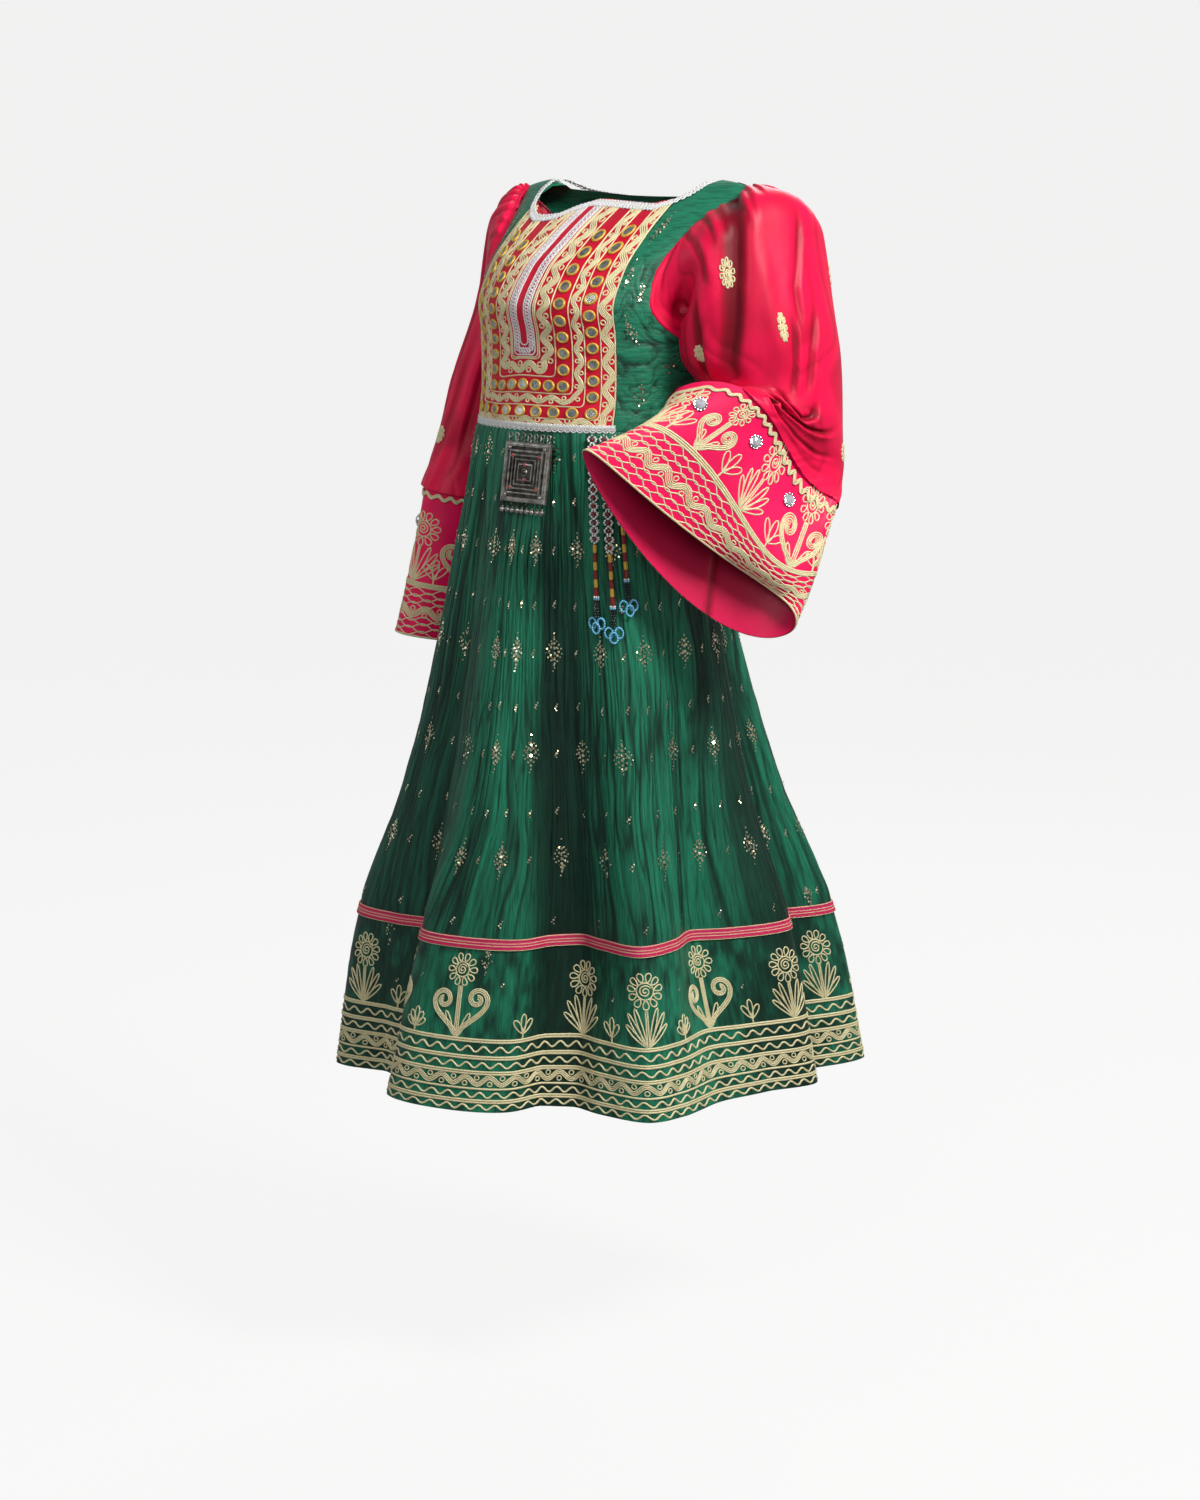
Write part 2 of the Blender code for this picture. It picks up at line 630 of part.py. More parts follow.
def section(value, angle):
    """Place on a section: an oval whose corners are lifted and whose outer side is swept."""
    centre = np.stack(value[0:3], -1)
    top = np.stack(value[3:6], -1)
    front = np.stack(value[6:9], -1)
    lift, sweep = value[9], value[10]
    out = np.cos(angle) + lift * np.sin(angle) ** 2
    out = out + sweep * np.sin(2 * angle) * (1 + np.cos(angle)) / 2
    return centre + top * out[..., None] + front * np.sin(angle)[..., None]


def sleeve(table, hand):
    """Sleeve: a runs once around from the shoulder side, b from the armhole to the cuff seam."""
    def surface(a, b):
        a = a + 0 * b
        b = b + 0 * a
        value = [smooth(table[:, 0], table[:, c], b) for c in range(1, 12)]
        turn = a % 1.0
        ring = section(value, 2 * np.pi * turn)
        start = armhole(turn, hand)
        start[..., 0] += hand * (SLEEVE_SEAM + 0.06 * np.maximum(b, 0))
        share = np.clip(b / 0.22, 0, 1)[..., None]
        share = share * share * (3 - 2 * share)
        shape = start * (1 - share) + ring * share
        body = torso_half_width(shape[..., 1], shape[..., 2]) + SLEEVE_CLEAR * np.clip(b / 0.10, 0.25, 1)
        body = np.where(shape[..., 2] < -0.285, 0, body)
        shape[..., 0] = hand * np.maximum(hand * shape[..., 0], body)
        return shape
    return surface


def ring_out(table_row, surface, a, b):
    """Outward directions that lie in the plane of a sleeve end, so that the pieces meet flat."""
    plane = np.cross(table_row[3:6], table_row[6:9])
    along = surface(a + 0.01, b) - surface(a - 0.01, b)
    out = unit(np.cross(along, plane))
    centre = surface(a, b).mean(axis=0)
    turn = np.sum(out * (surface(a, b) - centre), -1, keepdims=True)
    return out * np.where(turn < 0, -1.0, 1.0)


def make_sleeves():
    rows = np.array([0.0, 0.05, 0.12, 0.22, 0.36, 0.52, 0.68, 0.84, 0.94, 1.0])
    for title, table, hand in (("sleeve_left", LEFT_SLEEVE, 1), ("sleeve_right", RIGHT_SLEEVE, -1)):
        surface = sleeve(table, hand)
        columns = SLEEVE_COLUMNS
        a, b = np.meshgrid(np.arange(columns + 1) / columns, rows)
        plain = surface(a, b)
        out = hand * normals(surface, a, b, 0.01, 0.02)
        out[-1] = ring_out(table[-1, 1:], surface, a[-1], b[-1])
        lines = columns * 2 + 1
        share = np.tile(np.linspace(0, columns, lines), (len(rows), 1))
        lift = np.zeros(share.shape)
        for r, along in enumerate(rows):
            head = math.exp(-((along - 0.08) / 0.14) ** 2)
            end = 0.35 * math.exp(-((along - 1) / 0.14) ** 2)
            gather = 0.0016 * max(head, end)
            for c in range(lines):
                uneven = 0.75 + 0.25 * math.sin((c % (lines - 1)) * 1.9)
                lift[r, c] = CLOTH + (gather * uneven if c % 2 else 0.0)
        outer = crinkled(plain, out, lift, share)
        wall(title, outer[:, :-1], plain[:, :-1], "red_satin", True)


def cuff(table, rim):
    """Bell cuff: a runs once around, b from the sleeve end to the rim."""
    start = table[-1, 1:]

    def surface(a, b):
        a = a + 0 * b
        b = b + 0 * a
        swell = np.clip(b, 0, 1) ** 1.15
        value = [start[c] + (rim[c] - start[c]) * (b if c < 3 else swell) for c in range(11)]
        away = (a - rim[11] + 0.5) % 1.0 - 0.5
        share = np.exp(-(away / rim[12]) ** 2)[..., None]
        half, end = np.sin(np.pi * b)[..., None], (b * b)[..., None]
        return section(value, 2 * np.pi * a) + share * (rim[13:16] * half + rim[16:19] * end)
    return surface


def cuff_rows(side, table, rim, hand):
    """Inner and outer rows of a cuff's wall."""
    surface = cuff(table, rim)
    a, b = np.meshgrid(np.arange(CUFF_COLUMNS) / CUFF_COLUMNS, [CUFF_START[side], CUFF_ROW, 0.68, 1.0])
    plain = surface(a, b)
    out = hand * normals(surface, a, b, 0.01, 0.02)
    out[0] = ring_out(table[-1, 1:], surface, a[0], b[0])
    return plain, plain + out * CLOTH


def on_cuff(side, outer, hand, a, b):
    """Place on the first facets of a cuff's outer face, and the outward direction there."""
    column = np.asarray(a * CUFF_COLUMNS, float)
    k = np.floor(column).astype(int)
    part = (column - k)[..., None]
    left, right = outer[:2, k % CUFF_COLUMNS], outer[:2, (k + 1) % CUFF_COLUMNS]
    low, high = left * (1 - part) + right * part
    share = (b - CUFF_START[side]) / (CUFF_ROW - CUFF_START[side])
    out = hand * unit(np.cross((right - left).sum(axis=0), high - low))
    return low + (high - low) * share, out


def make_cuffs():
    for side, table, rim, hand in CUFFS:
        plain, outer = cuff_rows(side, table, rim, hand)
        wall("cuff_" + side, outer, plain, "red_satin", True)
        edge = np.arange(CUFF_COLUMNS) / CUFF_COLUMNS
        rows = []
        for b in (0.012, 0.012 + RICKRACK_WIDTH / 0.155):
            spot = on_cuff(side, outer, hand, edge + 0.0001, b)[0]
            after = on_cuff(side, outer, hand, edge + 0.5 / CUFF_COLUMNS, b)[1]
            out = unit(after + np.roll(after, 1, axis=0))
            rise = RICKRACK_RISE[side] / np.sum(out * after, -1, keepdims=True)
            rows.append(spot + out * rise)
        band("rickrack_" + side, np.stack(rows), TRIM_THICK, "gold_braid", True, hand < 0)


# Trims and hard pieces
def neck_points(side, across, width):
    """Points of the neck edge on one side, moved by width away from the opening along the cloth."""
    turn = np.clip((np.abs(across) - 0.104) / 0.016, 0, 1)
    turn = turn * turn * (3 - 2 * turn)
    x = across + np.sign(across) * width * turn
    z = top_height(across, side) - 0.001 - width * (1 - turn)
    half = smooth(TORSO[:, 0], TORSO[:, 1], z)
    return torso_point(np.arcsin(x / half), z, side)


def make_neck_trim():
    """White trim around the neck opening, lying on the edge of the front and the back."""
    front = np.array([0.1225, 0.1195, 0.116, 0.108, 0.090, 0.068, 0.046, 0.022, 0.0, -0.022, -0.040,
                      -0.058, -0.078, -0.096, -0.109, -0.116, -0.1195, -0.1225])
    back = np.array([-0.121, -0.115, -0.100, -0.078, -0.055, -0.028, 0.0])
    back = np.concatenate([back, -back[:-1][::-1]])
    edge = np.concatenate([neck_points(-1, front, 0.0), neck_points(1, back, 0.0)])
    low = np.concatenate([neck_points(-1, front, TRIM_WIDTH), neck_points(1, back, TRIM_WIDTH)])
    along = np.roll(edge, -1, axis=0) - np.roll(edge, 1, axis=0)
    out = unit(np.cross(along, low - edge))
    rough = (edge + low) / 2 - np.array([0.0, 0.0, -0.15])
    out = out * np.where(np.sum(out * rough, -1, keepdims=True) < 0, -1.0, 1.0)
    plain = np.stack([low, edge])
    near = CLOTH / 2 + 0.0007
    band("neck_trim", plain + out * near, TRIM_THICK, "white_trim", True, True)


def make_waist_trim():
    """White trim under the bib at the waist seam."""
    across = np.linspace(-1.02, 1.02, 15)
    half = BIB_HALF_ARC
    a, t = np.meshgrid(across * half, np.array([0.004, 0.026]))
    plain = bib(a, t)
    out = normals(bib, a, t, 0.002, 0.01)
    near = CLOTH / 2 + 0.0006
    band("waist_trim", plain + out * near, TRIM_THICK, "white_trim")


class Body:
    """Corners and faces of one closed body built from rings."""

    def __init__(self):
        self.points = []
        self.faces = []

    def ring(self, corners):
        start = len(self.points)
        self.points += [tuple(c) for c in corners]
        return list(range(start, len(self.points)))

    def bridge(self, first, second):
        n = len(first)
        for k in range(n):
            d = (k + 1) % n
            self.faces.append((first[k], first[d], second[d], second[k]))

    def cap(self, ring):
        self.faces.append(tuple(ring))


def as_cutter(item):
    """Piece that a Boolean joins to another and that is no node of its own."""
    for group in item.users_collection:
        group.objects.unlink(item)
    TOOLS.objects.link(item)
    item.hide_render = True
    item.display_type = "WIRE"


def make_pendant():
    """Square metal pendant with nested frames, link rings above and small bells below.

    Its origin is on its hinge line, at the tops of the link rings."""
    mesh = bpy.data.meshes.new("pendant")
    shape = bmesh.new()
    bmesh.ops.create_cube(shape, size=1.0)
    bmesh.ops.scale(shape, vec=(2 * PLATE_HALF_WIDTH, PLATE_THICK, PLATE_HEIGHT), verts=shape.verts)
    bmesh.ops.translate(shape, vec=(0, 0, -LINK_DROP - PLATE_HEIGHT / 2), verts=shape.verts)
    face = min(shape.faces, key=lambda f: f.calc_center_median().y)
    for width, rise in PLATE_STEPS:
        bmesh.ops.inset_individual(shape, faces=[face], thickness=width, depth=rise, use_even_offset=True)
    shape.to_mesh(mesh)
    shape.free()
    mesh.materials.append(finish("pendant", "silver_metal"))
    plate = bpy.data.objects.new("pendant", mesh)
    GROUP.objects.link(plate)
    empty = bpy.data.objects.new("pendant_hinge", None)
    GROUP.objects.link(empty)
    empty.location = (PENDANT_X, PENDANT_Y, PENDANT_Z)
    empty.rotation_euler = (math.radians(-PENDANT_TILT), 0, 0)
    plate.parent = empty
    pieces = []
    for k in range(LINKS):
        x = (k - (LINKS - 1) / 2) * 2 * PLATE_HALF_WIDTH / LINKS
        bpy.ops.mesh.primitive_torus_add(major_segments=10, minor_segments=4, major_radius=LINK_RADIUS,
                                         minor_radius=LINK_WIRE, rotation=(math.pi / 2, 0, 0),
                                         location=(x, 0, -LINK_RADIUS - LINK_WIRE))
        pieces.append(bpy.context.object)
    foot = -LINK_DROP - PLATE_HEIGHT
    for k in range(BELLS):
        x = (k - (BELLS - 1) / 2) * 2 * PLATE_HALF_WIDTH / BELLS
        bpy.ops.mesh.primitive_cylinder_add(vertices=4, radius=0.0012, depth=0.0075,
                                            location=(x, 0, foot - 0.0028))
        pieces.append(bpy.context.object)
        bpy.ops.mesh.primitive_uv_sphere_add(segments=6, ring_count=4, radius=BELL_RADIUS,
                                             location=(x, 0, foot - 0.0060 - BELL_RADIUS))
        pieces.append(bpy.context.object)
    for piece in pieces:
        shade_smooth(piece.data)
        piece.parent = empty
        as_cutter(piece)
    join = plate.modifiers.new("fittings", "BOOLEAN")
    join.operation = "UNION"
    join.operand_type = "COLLECTION"
    join.collection = TOOLS


def make_strands():
    """Three beaded strands hanging together from a small backing at the lower left corner of the bib."""
    body = Body()
    marks = np.array([0.0, 0.05, 0.32, 0.37, 0.64, 0.69, 0.96, 1.0])
    a = STRAND_FOLD + (marks - 0.5) * STRAND_SPREAD
    rows = []
    for z, lift in ((-0.276, 0.0082), (-0.276, 0.0038), (-0.264, 0.0038), (-0.264, 0.0082)):
        z = np.full(len(a), z)
        place = skirt(a, z) + normals(skirt, a, z, 0.05, 0.004) * lift
        rows.append(body.ring(place))
    last = len(a) - 1
    for k in range(last):
        if k % 2 == 0:
            body.faces.append((rows[0][k], rows[1][k], rows[1][k + 1], rows[0][k + 1]))
        body.faces.append((rows[1][k], rows[2][k], rows[2][k + 1], rows[1][k + 1]))
        body.faces.append((rows[2][k], rows[3][k], rows[3][k + 1], rows[2][k + 1]))
        body.faces.append((rows[3][k], rows[0][k], rows[0][k + 1], rows[3][k + 1]))
    body.cap([rows[0][0], rows[3][0], rows[2][0], rows[1][0]])
    body.cap([rows[0][last], rows[1][last], rows[2][last], rows[3][last]])
    for k, length in enumerate((0.225, 0.235, 0.205)):
        p = 1 + 2 * k
        ring = [rows[0][p], rows[0][p + 1], rows[1][p + 1], rows[1][p]]
        middle = (a[p] + a[p + 1]) / 2
        for share, wide in ((0.10, 0.0040), (0.3, 0.0045), (0.5, 0.0045), (0.52, 0.0032), (0.74, 0.0034),
                            (0.76, 0.0048), (0.94, 0.0050), (1.0, 0.0022)):
            z = np.array([-0.270 - length * share])
            spot = np.array([middle])
            centre = skirt(spot, z)[0]
            out = normals(skirt, spot, z, 0.05, 0.004)[0]
            side = unit(np.cross(out, np.array([0.0, 0.0, 1.0])))
            centre = centre + out * STRAND_LIFT
            corners = [centre + out * wide + side * wide, centre + out * wide - side * wide,
                       centre - out * wide - side * wide, centre - out * wide + side * wide]
            following = body.ring(corners)
            body.bridge(ring, following)
            ring = following
        body.cap(ring)
    solid("bead_strands", body.points, body.faces, "glass_bead")


def make_crystals():
    """Large cut stones sewn on the cuffs near the seam."""
    for side, table, rim, hand in CUFFS:
        outer = cuff_rows(side, table, rim, hand)[1]
        for k, (a, b) in enumerate(CRYSTAL_PLACES[side]):
            centre, out = on_cuff(side, outer, hand, a, b)
            along = unit(on_cuff(side, outer, hand, a, b + 0.02)[0] - centre)
            across = np.cross(out, along)
            turn = Matrix((tuple(along), tuple(across), tuple(out))).transposed().to_4x4()
            turn.translation = Vector(tuple(centre + out * 0.0005))
            title = "crystal_%s_%d" % (side, k + 1)
            mesh = bpy.data.meshes.new(title)
            shape = bmesh.new()
            bmesh.ops.create_cone(shape, cap_ends=True, segments=8, radius1=CRYSTAL_RADIUS,
                                  radius2=CRYSTAL_RADIUS * 0.55, depth=CRYSTAL_HEIGHT)
            bmesh.ops.translate(shape, vec=(0, 0, CRYSTAL_HEIGHT / 2), verts=shape.verts)
            shape.to_mesh(mesh)
            shape.free()
            mesh.materials.append(finish(title, "crystal"))
            item = bpy.data.objects.new(title, mesh)
            GROUP.objects.link(item)
            item.matrix_world = turn


clear_scene()
GROUP = make_collection(NAME)
TOOLS = make_collection("cutters")
make_bodice()
make_bib()
make_skirt()
make_braid()
make_sleeves()
make_cuffs()
make_neck_trim()
make_waist_trim()
make_pendant()
make_strands()
make_crystals()
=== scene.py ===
"""Looks of a long Afghan dress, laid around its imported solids.

Metres, +Z up, the wearer faces -Y and the wearer's left is +X. The cloth shells, the cords
and the trims are made from the same named sizes and section tables as the solids.
"""

import math

import bpy
import numpy as np
from mathutils import Matrix, Vector


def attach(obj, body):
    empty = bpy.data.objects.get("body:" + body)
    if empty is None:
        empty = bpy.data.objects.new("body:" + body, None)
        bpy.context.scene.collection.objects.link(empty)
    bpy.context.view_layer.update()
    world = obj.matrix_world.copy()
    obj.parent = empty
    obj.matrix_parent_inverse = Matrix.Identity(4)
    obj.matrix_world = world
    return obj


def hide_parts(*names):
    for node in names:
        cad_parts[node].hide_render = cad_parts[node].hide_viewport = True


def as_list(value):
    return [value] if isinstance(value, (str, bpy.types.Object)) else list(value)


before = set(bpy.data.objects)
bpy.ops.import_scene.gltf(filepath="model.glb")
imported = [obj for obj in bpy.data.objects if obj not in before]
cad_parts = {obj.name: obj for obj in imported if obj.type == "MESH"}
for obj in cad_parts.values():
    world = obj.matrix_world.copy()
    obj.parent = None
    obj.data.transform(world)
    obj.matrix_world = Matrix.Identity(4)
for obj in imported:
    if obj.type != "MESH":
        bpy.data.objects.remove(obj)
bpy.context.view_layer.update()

# Driving sizes, as in the solids
WAIST_Z = -0.270
HEM_Z = -1.056
SEAM_GAP = 0.0003
CLOTH = 0.0016
SKIRT_CLOTH = 0.0012
BRAID_Z = -0.857
BRAID_WIDTH = 0.014
SHOULDER_DROP = 0.009
BIB_HALF_WIDTH = 0.109
BIB_HALF_ARC = 0.121
BIB_LENGTH = 0.300
TRIM_WIDTH = 0.007
SLEEVE_SEAM = 0.0022
SLEEVE_CLEAR = 0.0075
PENDANT = (0.024, -0.1851, -0.2740)
PENDANT_TILT = 9.0
PLATE_HALF_WIDTH = 0.0360
PLATE_HEIGHT = 0.0680
LINK_DROP = 0.0105
BORDER_Z = -0.971

# Sizes of the looks alone: a sleeve laid flat, around and along it, and the width of a front
# panel, small steps on each surface for its outward directions, and columns of the meshes
SLEEVE_FLAT = (0.50, 0.36)
PANEL_FLAT = 0.085
SKIRT_STEPS = (0.05, 0.004)
PANEL_STEPS = (0.004, 0.004)
BIB_STEPS = (0.002, 0.01)
SLEEVE_STEPS = (0.01, 0.02)
SKIRT_COLUMNS = 49
SLEEVE_COLUMNS = 226
CUFF_COLUMNS = 210
UP = np.array([0.0, 0.0, 1.0])


def scaled(rows, units):
    return np.array(rows, float) / units


# Torso sections in mm: height, half width, centre y, front depth, back depth
TORSO = scaled([
    (-300, 140, -82, 104, 104), (-270, 135, -80, 100, 100), (-235, 137, -70, 104, 100),
    (-200, 143, -55, 115, 104), (-165, 150, -35, 136, 105), (-130, 155, -20, 156, 102),
    (-95, 160, -10, 144, 95), (-60, 168, -3, 110, 80), (-30, 174, 2, 72, 58),
    (-12, 177, 5, 44, 38), (0, 178, 7, 22, 20), (6, 178, 8, 0.3, 0.3),
], 1000)
# Armhole edge: height in mm, angle of the front edge and of the back edge
ARMHOLE = scaled([
    (-300, 90, 90), (-178, 90, 90), (-168, 78, 80), (-150, 66, 70), (-130, 60, 64), (-95, 57, 61),
    (-60, 58, 62), (-30, 63, 67), (-12, 72, 75), (0, 83, 83), (6, 88, 88),
], (1000, 1, 1))
# Neckline in mm: x across the dress, height at the front, height at the back
NECKLINE = scaled([
    (-200, 6, 6), (-124, 6, 6), (-117, -12, 1), (-100, -27, -6), (-75, -35, -10), (-45, -34, -13),
    (-30, -27, -14), (0, -17, -15), (50, -19, -13), (90, -21, -9), (110, -15, -3), (118, -9, 1),
    (125, 6, 6), (200, 6, 6),
], 1000)
# Skirt levels in mm: height, centre x, centre y
LEVELS = scaled([(-270, 0, -80), (-700, -15, -48), (-857, -20, -35), (-1056, -25, -25)], 1000)
# Large folds: angle and radius in mm above the knee, at the braid and at the hem, and how lit each
# is painted in per cent, little for a trough in painted shade and 100 for an unshaded crest
FOLDS = scaled([
    (-90, 168, -90, 185, -90, 205, 50), (-76, 186, -76, 215, -76, 245, 50),
    (-61, 190, -61, 222, -61, 252, 60), (-46, 222, -46, 285, -47, 322, 55),
    (-35, 203, -34, 246, -38, 258, 50), (-24, 176, -24, 212, -29, 247, 55),
    (-3, 194, -12, 239, -18, 279, 85), (7, 188, 2, 222, 0, 252, 100),
    (17, 168, 18, 195, 15, 219, 80), (26, 146, 25, 163, 22, 179, 5),
    (37, 138, 38, 148, 34, 172, 15), (48, 158, 48, 174, 46, 200, 75),
    (59, 186, 59, 212, 60, 236, 100), (70, 174, 70, 197, 70, 226, 100),
    (85, 156, 84, 169, 88, 205, 95), (100, 172, 99, 198, 106, 226, 60),
    (115, 190, 116, 237, 119, 268, 10), (125, 183, 126, 215, 128, 240, 55),
    (137, 222, 137, 282, 141, 325, 85), (151, 204, 151, 245, 153, 285, 70),
    (163, 172, 164, 195, 165, 225, 30), (178, 184, 179, 215, 180, 245, 90),
    (193, 164, 193, 182, 194, 205, 30), (210, 184, 211, 212, 210, 240, 90),
    (227, 162, 228, 180, 227, 200, 30), (244, 182, 244, 210, 244, 238, 90),
    (257, 165, 257, 186, 257, 208, 30),
], (1, 1000, 1, 1000, 1, 1000, 100))
FOLD_COUNT = len(FOLDS)
SIDE_FOLD = 14
# Mirrors of the bib: offset, lowest, highest, count of a column, spaces and height of the row
MIRROR_COLUMNS = [
    (0.0550, 0.0580, 0.255, 10, 6, 0.0580),
    (0.0920, 0.0230, 0.262, 12, 8, 0.0230),
]
# Sleeve sections: place along in per cent, in mm centre x y z, vector to the outer side and
# vector to the front, and in per cent lift of both corners towards the outer side and sweep of
# the outer side towards the front
SECTION_UNITS = (100,) + (1000,) * 9 + (100, 100)
LEFT_SLEEVE = scaled([
    (0, 180, -2, -88, 0, 4, 88, -20, -78, 0, 0, 0),
    (16, 190, -4, -92, 42, 4, 80, -12, -84, 4, 0, 0),
    (32, 194, -4, -132, 66, 8, 36, -4, -86, 4, 0, 0),
    (48, 200, 2, -185, 76, 8, 10, -2, -85, 6, 0, 0),
    (64, 210, 8, -232, 72, 4, -4, -2, -78, 22, 0, 0),
    (80, 224, 4, -270, 60, 0, 4, -14, -74, 48, 4, 10),
    (91, 230, -20, -284, 44, 4, 14, -34, -73, 58, 14, 36),
    (100, 233, -48, -291, 34, 10, 18, -49, -73, 64, 25, 66),
], SECTION_UNITS)
RIGHT_SLEEVE = scaled([
    (0, -180, -2, -88, 0, 4, 88, 20, -78, 0, 0, 0),
    (16, -184, 14, -92, -26, 4, 76, 10, -70, 0, 0, 0),
    (34, -194, 28, -145, -48, 0, 28, 4, -72, 0, 0, 0),
    (58, -222, 18, -240, -50, 0, 6, 0, -80, 0, 0, 0),
    (78, -232, 6, -305, -47, 0, 6, 0, -85, 4, 0, 0),
    (100, -238, -14, -372, -44, 0, 8, 0, -88, 8, 0, 0),
], SECTION_UNITS)
# Cuff rims in metres and shares, as the sleeve sections from their centre on, and then the belly
# of the cloth over one corner: its place around and its spread, its offset half way to the rim,
# and its offset at the rim
LEFT_CUFF_RIM = np.array([
    0.217, -0.121, -0.417, 0.012, -0.019, 0.045, -0.070, -0.096, 0.092, 0.87, -0.065,
    0.89, 0.11, 0.0073, -0.0271, -0.0197, -0.0208, 0.0208, -0.0058,
])
RIGHT_CUFF_RIM = np.array([
    -0.250, -0.012, -0.552, -0.050, 0.000, 0.006, 0.000, -0.130, 0.016, 0.0, 0.0,
    0.50, 0.10, 0.0, 0.0, 0.0, 0.0, 0.0, 0.0,
])
SIDES = [("left", LEFT_SLEEVE, LEFT_CUFF_RIM, 1), ("right", RIGHT_SLEEVE, RIGHT_CUFF_RIM, -1)]
CRYSTAL_PLACES = {
    "left": ((0.15, 0.22), (0.03, 0.17), (0.92, 0.16)),
    "right": ((0.16, 0.24), (0.44, 0.24), (0.80, 0.24)),
}


# Curves and surfaces, as in the solids
def hermite(t, step, low, high, first, last):
    """Curve from low to high over a step, t from 0 to 1, with its slopes at both ends."""
    rise = (2 * t ** 3 - 3 * t ** 2 + 1) * low + (3 * t ** 2 - 2 * t ** 3) * high
    return rise + ((t ** 3 - 2 * t ** 2 + t) * first + (t ** 3 - t ** 2) * last) * step


def smooth(xs, ys, x):
    """Smooth curve through a table, level at its peaks and valleys."""
    xs = np.asarray(xs, float)
    ys = np.asarray(ys, float)
    step = np.diff(xs)
    slope = np.diff(ys) / step
    before, after = slope[:-1], slope[1:]
    same = before * after > 0
    total = np.where(same, before + after, 1.0)
    middle = np.where(same, 2.0 * before * after / total, 0.0)
    tangent = np.concatenate([slope[:1], middle, slope[-1:]])
    x = np.clip(np.asarray(x, float), xs[0], xs[-1])
    k = np.clip(np.searchsorted(xs, x, side="right") - 1, 0, len(xs) - 2)
    return hermite((x - xs[k]) / step[k], step[k], ys[k], ys[k + 1], tangent[k], tangent[k + 1])


def read(table, column, x):
    return smooth(table[:, 0], table[:, column], x)


def unit(v):
    return v / np.maximum(np.linalg.norm(v, axis=-1, keepdims=True), 1e-9)


def ease(x):
    x = np.clip(x, 0, 1)
    return x * x * (3 - 2 * x)


def lengths(points):
    """Length of a line up to each of its points."""
    return np.concatenate([[0], np.cumsum(np.linalg.norm(np.diff(points, axis=0), axis=1))])


def ring_turns(count):
    return np.linspace(0, 2 * np.pi, count, endpoint=False)


def normals(surface, a, b, step_a, step_b):
    """Unit normals of a surface function by small steps both ways."""
    along = surface(a + step_a, b) - surface(a - step_a, b)
    up = surface(a, b + step_b) - surface(a, b - step_b)
    return unit(np.cross(along, up))


def raised(surface, a, b, steps, hand, lift):
    """Places a lift above a surface, and the outward directions there."""
    out = hand * normals(surface, a, b, *steps)
    return surface(a, b) + out * np.asarray(lift)[..., None], out


def torso_point(angle, z, side):
    x = read(TORSO, 1, z) * np.sin(angle)
    fullness = 1.0 if side > 0 else 1.0 - 0.16 * np.clip((z + 0.25) / 0.07, 0, 1)
    depth = read(TORSO, 3 if side < 0 else 4, z) * np.maximum(np.cos(angle), 0) ** fullness
    y = read(TORSO, 2, z) + side * (SEAM_GAP + depth)
    out = np.clip((np.abs(x) - 0.112) / 0.066, 0, 1)
    drop = SHOULDER_DROP * out * out * np.clip((z + 0.10) / 0.10, 0, 1)
    return np.stack([x, y, z - drop], -1)


def torso_half_width(y, z):
    middle = read(TORSO, 2, z)
    depth = np.where(y < middle, read(TORSO, 3, z), read(TORSO, 4, z))
    share = np.clip(np.abs(y - middle) / np.maximum(depth, 1e-4), 0, 1)
    return read(TORSO, 1, z) * np.sqrt(1 - share ** 2.3)


def edge_angle(z, side):
    return np.radians(read(ARMHOLE, 1 if side < 0 else 2, z))


def bib_angle(z):
    return np.arcsin(np.minimum(BIB_HALF_WIDTH / read(TORSO, 1, z), 0.999))


def top_height(x, side):
    return read(NECKLINE, 1 if side < 0 else 2, x)


def panel_height(v, x, side):
    return WAIST_Z + v * (top_height(x, side) - WAIST_Z)


def side_panel(hand):
    """Front panel beside the bib: a runs from the bib edge to the armhole, v upwards."""
    def surface(a, v):
        z = panel_height(v, hand * (BIB_HALF_WIDTH + a * 0.066), -1)
        start = bib_angle(z)
        return torso_point(hand * (start + (edge_angle(z, -1) - start) * a), z, -1)
    return surface


def back_panel(a, v):
    z = panel_height(v, 0.175 * a, 1)
    return torso_point(a * edge_angle(z, 1), z, 1)


def bib(s, t):
    """Bib by its arc across, s, and its height t as a share of the way to the neckline."""
    z = panel_height(t, BIB_HALF_WIDTH * np.sin(s / BIB_HALF_ARC * 1.30) / math.sin(1.30), -1)
    return torso_point(s / BIB_HALF_ARC * bib_angle(z), z, -1)


def blend(z, values):
    """Smooth change of a value from level to level of the skirt, straight beyond them."""
    z = np.asarray(z, float) + 0 * values[0]
    h = LEVELS[:, 0]
    v = [item + 0 * z for item in values]
    slope = [(v[k + 1] - v[k]) / (h[k + 1] - h[k]) for k in range(3)]
    tangent = [slope[0], 0.5 * (slope[0] + slope[1]), 0.5 * (slope[1] + slope[2]), slope[2]]
    held = np.clip(z, h[3], h[0])
    total = (z - held) * np.where(z > h[0], slope[0], slope[2])
    for k in range(3):
        t = (held - h[k]) / (h[k + 1] - h[k])
        inside = (t < 1) if k == 0 else (t >= 0) if k == 2 else (t >= 0) & (t < 1)
        part = hermite(t, h[k + 1] - h[k], v[k], v[k + 1], tangent[k], tangent[k + 1])
        total = total + np.where(inside, part, 0)
    return total


